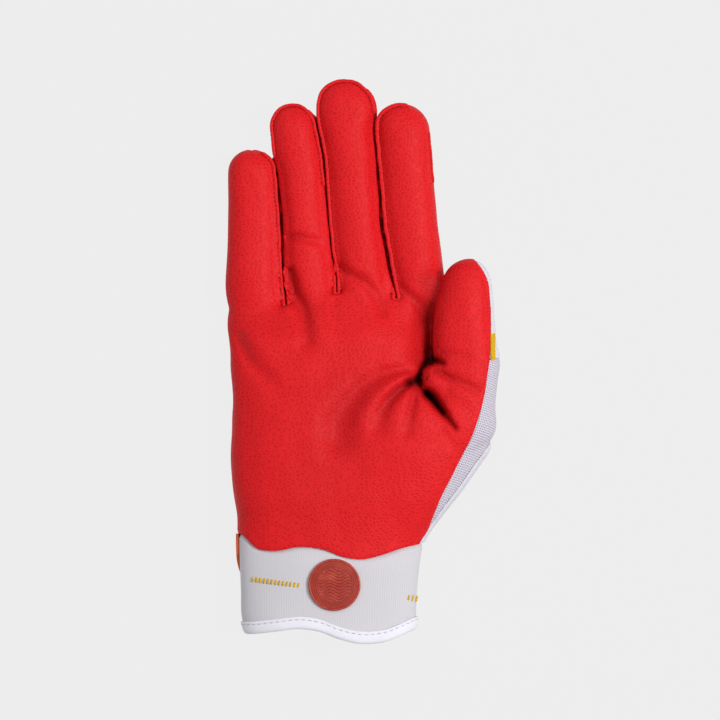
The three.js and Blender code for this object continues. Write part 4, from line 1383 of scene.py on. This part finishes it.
@dataclass
class LeatherHand:
    """The leather palm, fourchettes, back and mesh gusset, with the raw lips and seams of the fingers."""

    bench: Bench
    wardrobe: Wardrobe
    leather: float = 1.2
    cloth: float = 1.0
    lip_height: float = 1.3

    def panels(self, skin: Skin) -> None:
        """Builds the panels of the skin."""
        plan = (
            (Panel.LEATHER, "palm_leather_skin", RED_LEATHER, "palm_leather", 0.0, self.leather, "palm_leather"),
            (Panel.LITTLE_RING, "fourchette_skin_little_ring", RED_LEATHER, "palm_leather", 0.0, self.cloth, "fourchette_little_ring"),
            (Panel.RING_MIDDLE, "fourchette_skin_ring_middle", RED_LEATHER, "palm_leather", 0.0, self.cloth, "fourchette_ring_middle"),
            (Panel.MIDDLE_INDEX, "fourchette_skin_middle_index", RED_LEATHER, "palm_leather", 0.0, self.cloth, "fourchette_middle_index"),
            (Panel.BACK, "back_skin", WHITE_LEATHER, "back_leather", 0.35, self.cloth, "back_panel"),
            (Panel.THUMB_BACK, "thumb_back_skin", WHITE_LEATHER, "back_leather", 0.35, self.cloth, "thumb_back"),
            (Panel.GUSSET, "thumb_gusset_mesh", AirMesh(), "gusset_mesh", 0.55, self.cloth, "thumb_gusset"),
        )
        for panel, name, finish, slot, sink, thickness, cad in plan:
            points, faces = skin.piece(panel, sink)
            piece = self.bench.object(name, points, faces)
            if panel is Panel.GUSSET:
                lay_map(piece, points[:, 1], (points[:, 0] - points[:, 2] * 1.1) * 0.75)
            if panel is Panel.LEATHER:
                self.lay_painted_shade(piece, points)
            wall(piece, thickness)
            shade(piece, 55)
            self.wardrobe.dress(piece, finish, slot, cad)

    def lay_painted_shade(self, piece: bpy.types.Object, points: np.ndarray) -> None:
        """Lays the attribute of painted shade: how much darker the leather's colour is painted in its folds.

        Args:
            piece: the palm's leather.
            points: its points in the glove's millimetres.
        """
        clear = clear_of_thumb(points, (0.3, 0.75))
        light = np.ones(len(points))
        for fold in FOLDS:
            light *= 1 - fold.painted_shade_share(points[:, :2]) * (1.0 if fold.everywhere else clear)
        # Painted shade, stored on the leather's points.
        tone = piece.data.attributes.new(PAINTED_FOLD_SHADE, "FLOAT", "POINT")
        tone.data.foreach_set("value", ((1 - light) * smoothstep(4.5, 7.0, points[:, 2])).astype(np.float32))

    def lip_line(self, plan: LipPlan) -> np.ndarray:
        """Outer edge of a lip seen from above.

        Args:
            plan: where the lip runs.

        Returns:
            Points, (n, 2), evenly spaced.
        """
        parts = []
        if plan.first is not None:
            line = FINGERS[plan.first].outline(plan.extra)
            line = line[int(plan.start * (len(line) - 1)) :]
            parts.append(line[: int(plan.stop * len(line)) + 1] if plan.slit is None else line)
        if plan.slit is not None:
            slit, crotch = SLITS[plan.slit], CROTCH_Y[plan.slit]
            x, wide = through(slit[:, 0], slit[:, 1:], np.array([crotch]))[0]
            turn = np.linspace(0, math.pi, 13)
            radius = max(wide / 2, 0.35)
            arc = np.stack([x - radius * np.cos(turn), crotch - radius * np.sin(turn)], axis=1)
            if parts:
                parts[0] = parts[0][parts[0][:, 1] > crotch + 0.4]
            line = FINGERS[plan.slit + 1].outline(plan.extra)
            line = line[: int(plan.stop * (len(line) - 1))]
            parts += [arc, line[line[:, 1] > crotch + 0.4]]
        return evenly(np.concatenate(parts), 0.4)

    def lips(self, skin: Skin) -> None:
        """Builds the raw edges that stand out along the finger seams, with their stitches."""
        tree = surface_under(skin, (Panel.LEATHER, Panel.LITTLE_RING, Panel.RING_MIDDLE, Panel.MIDDLE_INDEX))
        dashes = Stitches(radius=0.17, length=1.4, gap=0.35)
        chance = np.random.default_rng(3)
        for number, plan in enumerate(LIPS):
            line = self.lip_line(plan)
            run = np.gradient(line, axis=0)
            out = np.stack([-run[:, 1], run[:, 0]], axis=1)
            out /= np.maximum(np.linalg.norm(out, axis=1, keepdims=True), 1e-9)
            waves = np.convolve(chance.normal(size=len(line) + 10), np.ones(11) / 11, mode="valid")
            line = line + out * waves[:, None] * 0.25
            inner = line - out * (plan.width + 0.25)
            z = np.array([height_at(tree, x, y, 15.0) for x, y in inner])
            z = np.convolve(np.pad(z, 6, mode="edge"), np.ones(13) / 13, mode="valid") - plan.drop
            sizes = tapered(len(line), 0.4, plan.taper)
            dive = (1 - sizes)[:, None]
            path = np.column_stack([line - out * dive * 1.1, z[:, None] - dive * 1.6])
            width, high = plan.width, self.lip_height
            profile = np.array([
                (-width - 0.9, -high), (-0.2, -high), (0.0, -high * 0.7), (0.05, -high * 0.35),
                (-0.05, -0.1), (-0.3, 0.08), (-width * 0.6, 0.12), (-width * 0.9, -0.1), (-width - 0.5, -0.6),
            ])
            points, faces = sweep(path, profile, sizes)
            piece = self.bench.object(f"seam_lip_{number + 1}", points, faces)
            outward_normals(piece)
            shade(piece, 60)
            self.wardrobe.dress(piece, RED_LEATHER, "palm_leather")
            if plan.stitched:
                seam = path - np.column_stack([out * (width + 0.05), np.full(len(path), 0.12)])
                dashes.run(seam[4:-4], np.tile([0.0, 0.0, 1.0], (len(seam) - 8, 1)))
        self.wardrobe.dress(dashes.object(self.bench, "finger_seam_stitches"), RED_THREAD, "palm_leather")

    def crotches(self, skin: Skin) -> None:
        """Builds the pale thread round the ends of the slits between the fingers; its pale colour is partly a painted
        highlight on the slit's rounded end.
        """
        tree = surface_under(skin, (Panel.LEATHER,))
        turn = np.linspace(0, 2 * math.pi, 8, endpoint=False)
        section = np.stack([np.cos(turn), np.sin(turn)], axis=1) * 0.42
        for number, (slit, crotch) in enumerate(zip(SLITS, CROTCH_Y)):
            x, wide = through(slit[:, 0], slit[:, 1:], np.array([crotch]))[0]
            bend = np.linspace(-0.5, math.pi + 0.5, 22)
            radius = max(wide / 2, 0.35) + 0.05
            line = np.stack([x - radius * np.cos(bend), crotch - radius * np.sin(bend)], axis=1)
            beside = [(x, crotch - 1.6), (x - 1.8, crotch), (x + 1.8, crotch), (x - 1.8, crotch + 2.0), (x + 1.8, crotch + 2.0)]
            z = min(height_at(tree, a, b, 17.0) for a, b in beside)
            path = np.column_stack([line, np.full(len(line), z - 0.1)])
            points, faces = sweep(path, section, tapered(len(path), 0.1, 0.5))
            piece = self.bench.object(f"crotch_thread_and_highlight_{number + 1}", points, faces)
            outward_normals(piece)
            shade(piece, 60)
            self.wardrobe.dress(piece, PALE_THREAD_AND_HIGHLIGHT, "palm_leather")

    def webs(self) -> None:
        """Builds the folded bases of the fourchettes, deep in the slits between the fingers."""
        for number, (slit, crotch) in enumerate(zip(SLITS, CROTCH_Y)):
            y = np.arange(crotch - 2.0, slit[-1, 0] - 4.0, 1.0)
            x = through(slit[:, 0], slit[:, 1], y) + 0.5
            path = np.column_stack([x, y, np.full(len(y), 6.4)])
            half = 1.45
            profile = np.array([(-half, -1.0), (0.0, -1.3), (half, -1.0), (half, 0.8), (0.0, 0.2), (-half, 0.8)])
            points, faces = sweep(path, profile)
            piece = self.bench.object(f"fourchette_base_{number + 1}", points, faces)
            outward_normals(piece)
            shade(piece, 60)
            self.wardrobe.dress(piece, RED_LEATHER, "palm_leather")

    def bar_tack(self, skin: Skin) -> None:
        """Builds the plain bar tack beside the thumb."""
        tree = surface_under(skin, (Panel.THUMB_BACK, Panel.LEATHER, Panel.GUSSET))
        tack = Stitches(radius=0.3)
        for y in np.arange(117.6, 128.4, 0.52):
            ends = []
            for x in (64.9, 67.0):
                ends.append(np.array([x, y, height_at(tree, x, y, 16.0) + 0.15]))
            tack.lay(ends[0], ends[1] + np.array([0, 0.35, 0]), np.array([0.5, 0.0, 0.86]))
        self.wardrobe.dress(tack.object(self.bench, "thumb_bar_tack"), YELLOW_THREAD, "back_leather")


@dataclass
class WristCuff:
    """The rib-knit cuff with its bound hem, badge, embroidered rows and closing strap."""

    bench: Bench
    wardrobe: Wardrobe
    columns: int = 200
    wall: float = 1.6
    tape: float = 0.75
    binding: float = 5.2

    def surface(self, y: np.ndarray, grow: np.ndarray, edges: tuple[np.ndarray, np.ndarray] | None = None) -> np.ndarray:
        """Points round the wrist.

        Args:
            y: shares from the lower edge to the upper one, one per row.
            grow: how far each row lies outside the cuff.
            edges: lower and upper edge as tables of x and y.

        Returns:
            Points, (rows, columns, 3).
        """
        lower, upper = edges if edges is not None else (HEM, LEATHER_EDGE)
        across, up = round_section(self.columns)
        points = np.empty((len(y), self.columns, 3))
        for row, (share, out) in enumerate(zip(y, grow)):
            height = np.full(self.columns, 20.0)
            for _ in range(4):
                got = through(HAND[:, 0], HAND[:, 1:], height)
                left, right, bottom, top, rest, widest = got.T
                x = (left + right) / 2 + across * ((right - left) / 2 + out)
                low = through(lower[:, 0], lower[:, 1], x)
                high = through(upper[:, 0], upper[:, 1], x)
                height = low + share * (high - low)
            z = bottom + (top - bottom) * widest + up * ((top - bottom) / 2 + out)
            points[row] = np.stack([x, height, np.maximum(z, rest - out)], axis=1)
        return points

    def cuff(self) -> None:
        """Builds the knitted cuff."""
        share = np.concatenate([np.linspace(0.0, 0.94, 32), np.linspace(0.96, 1.14, 8)])
        grow = -0.55 - 1.1 * smoothstep(0.95, 1.02, share)
        points = self.surface(share, grow)
        uneven = 0.18 * np.sin(points[:, :, 0] * 0.21 + 1.0) * np.sin(points[:, :, 1] * 0.16)
        points[:, :, 2] += uneven * smoothstep(15.0, 20.0, points[:, :, 2])
        rows = len(share)
        piece = self.bench.object("knit_cuff", points.reshape(-1, 3), grid_faces(rows, self.columns, True))
        girth = np.cumsum(np.linalg.norm(np.diff(points[rows // 2], axis=0, prepend=points[rows // 2][:1]), axis=1))
        lay_map(piece, np.tile(girth, rows), points[:, :, 1].ravel())
        wall(piece, self.wall)
        shade(piece, 50)
        self.wardrobe.dress(piece, CUFF_KNIT, "cuff_knit", "cuff")

    def hem(self) -> None:
        """Builds the folded tape round the hem, with its line of stitches."""
        out, inner = self.tape - 0.35, -self.wall - 0.35
        high = self.binding
        # Height above the hem, and how far outside the cuff
        fold = [(high, out - 0.3), (high - 0.25, out), (high - 0.9, out + 0.02), (high - 1.3, out - 0.12), (high - 1.8, out + 0.05)]
        fold += [(h, out + 0.1) for h in (2.6, 1.6)]
        fold += [(0.75, out), (0.2, out - 0.5), (0.0, (out + inner) / 2), (0.2, inner + 0.5), (0.75, inner), (2.6, inner), (high, inner)]
        rows = []
        for above, grow in fold:
            edge = HEM + np.array([0.0, above])
            rows.append(self.surface(np.array([0.0]), np.array([grow]), (edge, edge + np.array([0.0, 1.0])))[0])
        points = np.array(rows)[::-1]
        piece = self.bench.object("hem_binding_tape", points.reshape(-1, 3), grid_faces(len(fold), self.columns, True))
        wall(piece, 0.6)
        shade(piece, 50)
        self.wardrobe.dress(piece, BINDING, "binding_tape", "hem_binding")
        edge = HEM + np.array([0.0, high - 1.25])
        line = self.surface(np.array([0.0]), np.array([out - 0.02]), (edge, edge + 1.0))[0]
        line = np.concatenate([line, line[:1]])
        across, up = round_section(self.columns)
        ups = np.stack([across * 0.8, np.zeros_like(up), up], axis=1)
        ups /= np.linalg.norm(ups, axis=1, keepdims=True)
        dashes = Stitches(radius=0.2, length=1.7, gap=1.0)
        dashes.run(line, np.concatenate([ups, ups[:1]]))
        self.wardrobe.dress(dashes.object(self.bench, "hem_stitches"), WHITE_THREAD, "binding_tape")

    def front(self, x: float, y: float, grow: float = 0.0) -> np.ndarray:
        """A point on the front of the cuff."""
        left, right, bottom, top, _, widest = through(HAND[:, 0], HAND[:, 1:], np.array([y]))[0]
        share = np.clip((x - (left + right) / 2) / ((right - left) / 2), -0.999, 0.999)
        dome = (1 - abs(share) ** SQUARENESS) ** (1 / SQUARENESS)
        return np.array([x, y, bottom + (top - bottom) * widest + dome * (top - bottom) / 2 + grow])

    def rows_of_thread(self) -> None:
        """Builds plain rows of slanted satin stitches on the cuff."""
        satin = Stitches(radius=0.42)
        for start, end, height, count in (((-33.6, 26.6), (-14.8, 24.3), 2.3, 13), ((31.0, 19.1), (34.3, 18.5), 2.4, 3)):
            for i in range(count):
                share = i / (count - 1)
                x = start[0] + (end[0] - start[0]) * share
                y = start[1] + (end[1] - start[1]) * share
                satin.lay(self.front(x - 0.25, y - height / 2, -0.35), self.front(x + 0.35, y + height / 2, -0.35), np.array([0, 0, 1.0]))
        self.wardrobe.dress(satin.object(self.bench, "satin_stitch_rows"), YELLOW_THREAD, "cuff_knit")

    def badge(self) -> None:
        """Builds the moulded badge, ring by ring from its edge inwards."""
        # Radius, height above the knit
        rings = [
            (10.72, -0.9), (10.78, 0.7), (10.7, 1.0), (10.5, 1.15), (10.2, 1.2), (9.95, 1.1), (9.8, 0.9), (9.55, 0.9),
            (9.42, 1.12), (9.2, 1.12), (9.08, 0.9), (8.5, 0.9), (8.38, 1.12), (8.16, 1.12), (8.04, 0.9), (7.7, 0.9),
            (7.58, 1.1), (7.38, 1.1), (7.26, 0.9),
        ]
        rings += [(r, 0.9) for r in np.arange(7.05, 0.2, -0.2)]
        base = self.front(*BADGE_CENTRE, -0.9)
        centre = self.bench.metres(base[None])[0]
        bpy.ops.object.select_all(action="DESELECT")
        bpy.ops.mesh.primitive_circle_add(vertices=128, radius=rings[0][0] * MM, fill_type="NGON", location=tuple(centre))
        piece = bpy.context.active_object
        piece.name = "moulded_badge"
        bpy.ops.object.transform_apply(location=True, rotation=True, scale=True)
        bpy.ops.object.mode_set(mode="EDIT")
        bpy.ops.mesh.select_all(action="SELECT")
        for (before, low), (radius, high) in zip(rings, rings[1:]):
            bpy.ops.mesh.extrude_region_move(TRANSFORM_OT_translate={"value": (0, 0, (high - low) * MM)})
            factor = radius / before
            bpy.ops.transform.resize(value=(factor, factor, 1.0), center_override=tuple(centre))
        bpy.ops.object.mode_set(mode="OBJECT")
        points, _ = self.bench.read(piece)
        x, y = points[:, 0] - BADGE_CENTRE[0], points[:, 1] - BADGE_CENTRE[1]
        away = np.hypot(x, y)
        # Wavy ridges fill the field.
        wave = np.sin((y + 0.8 * np.sin(x * 0.8)) * 2 * math.pi / 1.3)
        field_of = (1 - smoothstep(6.5, 7.0, away)) * smoothstep(0.5, 1.0, points[:, 2] - base[2])
        points[:, 2] += 0.15 * wave * field_of
        # The disc follows the curve of the cuff.
        dome = np.array([self.front(float(a), float(b))[2] for a, b in points[:, :2]])
        points[:, 2] += dome - self.front(*BADGE_CENTRE)[2]
        piece.data.vertices.foreach_set("co", self.bench.metres(points).ravel().astype(np.float32))
        outward_normals(piece)
        shade(piece, 45)
        self.wardrobe.dress(piece, BADGE_RUBBER, "badge_rubber", "cuff_badge")

    def strap(self) -> None:
        """Builds the closing strap across the back of the wrist, its tab round the little-finger side."""
        power = 2 / SQUARENESS
        share = np.linspace(0, 1, 150)
        top = 45.4 - 3.0 * smoothstep(0.75, 1.0, share)
        bottom = 20.6 + 3.0 * (1 - smoothstep(0.0, 0.14, share))
        rows = []
        for step in np.linspace(0, 1, 22):
            # The tab's end is slanted: it shows beside the cuff at the top and hides under it below.
            first = -158.0 - 27.0 * smoothstep(0.0, 0.75, step)
            turn = np.radians(first + (-45.0 - first) * share)
            across, up = np.cos(turn), np.sin(turn)
            across = np.sign(across) * np.abs(across) ** power
            up = np.sign(up) * np.abs(up) ** power
            y = bottom + (top - bottom) * step
            left, right, low, high, rest, widest = through(HAND[:, 0], HAND[:, 1:], y).T
            out = 0.75
            x = (left + right) / 2 + across * ((right - left) / 2 + out)
            z = low + (high - low) * widest + up * ((high - low) / 2 + out)
            rows.append(np.stack([x, y, np.maximum(z, 0.02)], axis=1))
        points = np.array(rows)
        piece = self.bench.object("closing_strap", points.reshape(-1, 3), grid_faces(len(rows), len(share), False))
        wall(piece, 1.2)
        outward_normals(piece)
        apply_modifier(piece, "BEVEL", width=0.3 * MM, segments=2, limit_method="ANGLE", angle_limit=math.radians(50))
        shade(piece, 50)
        self.wardrobe.dress(piece, STRAP_WEB, "strap_cloth", "wrist_strap")


@dataclass
class Studio:
    """Pale floor, soft lights and the camera above the glove."""

    frame_width: float = 0.2988
    distance: float = 3.0
    centre: tuple[float, float] = (-0.0017, 0.0001)

    def floor(self) -> None:
        """Builds the floor."""
        bpy.ops.object.select_all(action="DESELECT")
        bpy.ops.mesh.primitive_plane_add(size=4.0, location=(0, 0, -0.0002))
        floor = bpy.context.active_object
        floor.name = "floor"
        material, shader = new_material("lit_paper_floor", Roughness=1.0)
        shader.inputs["Base Color"].default_value = linear("#202020")
        shader.inputs["Specular IOR Level"].default_value = 0.0
        shader.inputs["Emission Color"].default_value = linear("#EDEDED")
        shader.inputs["Emission Strength"].default_value = 0.98
        floor.data.materials.append(material)

    def lamp(self, name: str, place: tuple[float, float, float], size: float, power: float) -> None:
        """Adds a square soft light that looks at the glove."""
        data = bpy.data.lights.new(name, "AREA")
        data.size, data.energy = size, power
        lamp = bpy.data.objects.new(name, data)
        lamp.location = place
        lamp.rotation_euler = (-Vector(place)).to_track_quat("-Z", "Y").to_euler()
        bpy.context.scene.collection.objects.link(lamp)

    def lights(self) -> None:
        """Adds the lights and the pale world."""
        self.lamp("key", (1.1, 0.1, 1.68), 0.7, 31.5)
        self.lamp("fill", (-0.6, 0.7, 1.8), 1.6, 10.0)
        world = bpy.data.worlds.new("studio")
        bpy.context.scene.world = world
        world.use_nodes = True
        world.node_tree.nodes["Background"].inputs["Color"].default_value = (1, 1, 1, 1)
        world.node_tree.nodes["Background"].inputs["Strength"].default_value = 0.33

    def camera(self) -> None:
        """Adds the camera straight above, with a long lens."""
        data = bpy.data.cameras.new("camera")
        data.sensor_width = 36.0
        data.lens = 36.0 * (self.distance - 0.015) / self.frame_width
        data.clip_end = 20.0
        camera = bpy.data.objects.new("camera", data)
        camera.location = (*self.centre, self.distance)
        bpy.context.scene.collection.objects.link(camera)
        bpy.context.scene.camera = camera
        bpy.context.scene.view_settings.view_transform = "Standard"

    def build(self) -> None:
        """Builds the studio."""
        self.floor()
        self.lights()
        self.camera()


def main() -> None:
    """Builds the glove's visual model and its studio."""
    logging.basicConfig(level=logging.INFO, format="%(name)s: %(message)s")
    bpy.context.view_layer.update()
    bench, wardrobe = Bench(), Wardrobe()
    skin = GloveSkin(bench).build()
    hand = LeatherHand(bench, wardrobe)
    hand.panels(skin)
    hand.lips(skin)
    hand.crotches(skin)
    hand.webs()
    hand.bar_tack(skin)
    cuff = WristCuff(bench, wardrobe)
    cuff.cuff()
    cuff.hem()
    cuff.rows_of_thread()
    cuff.badge()
    cuff.strap()
    Studio().build()


if __name__ == "__main__":
    main()
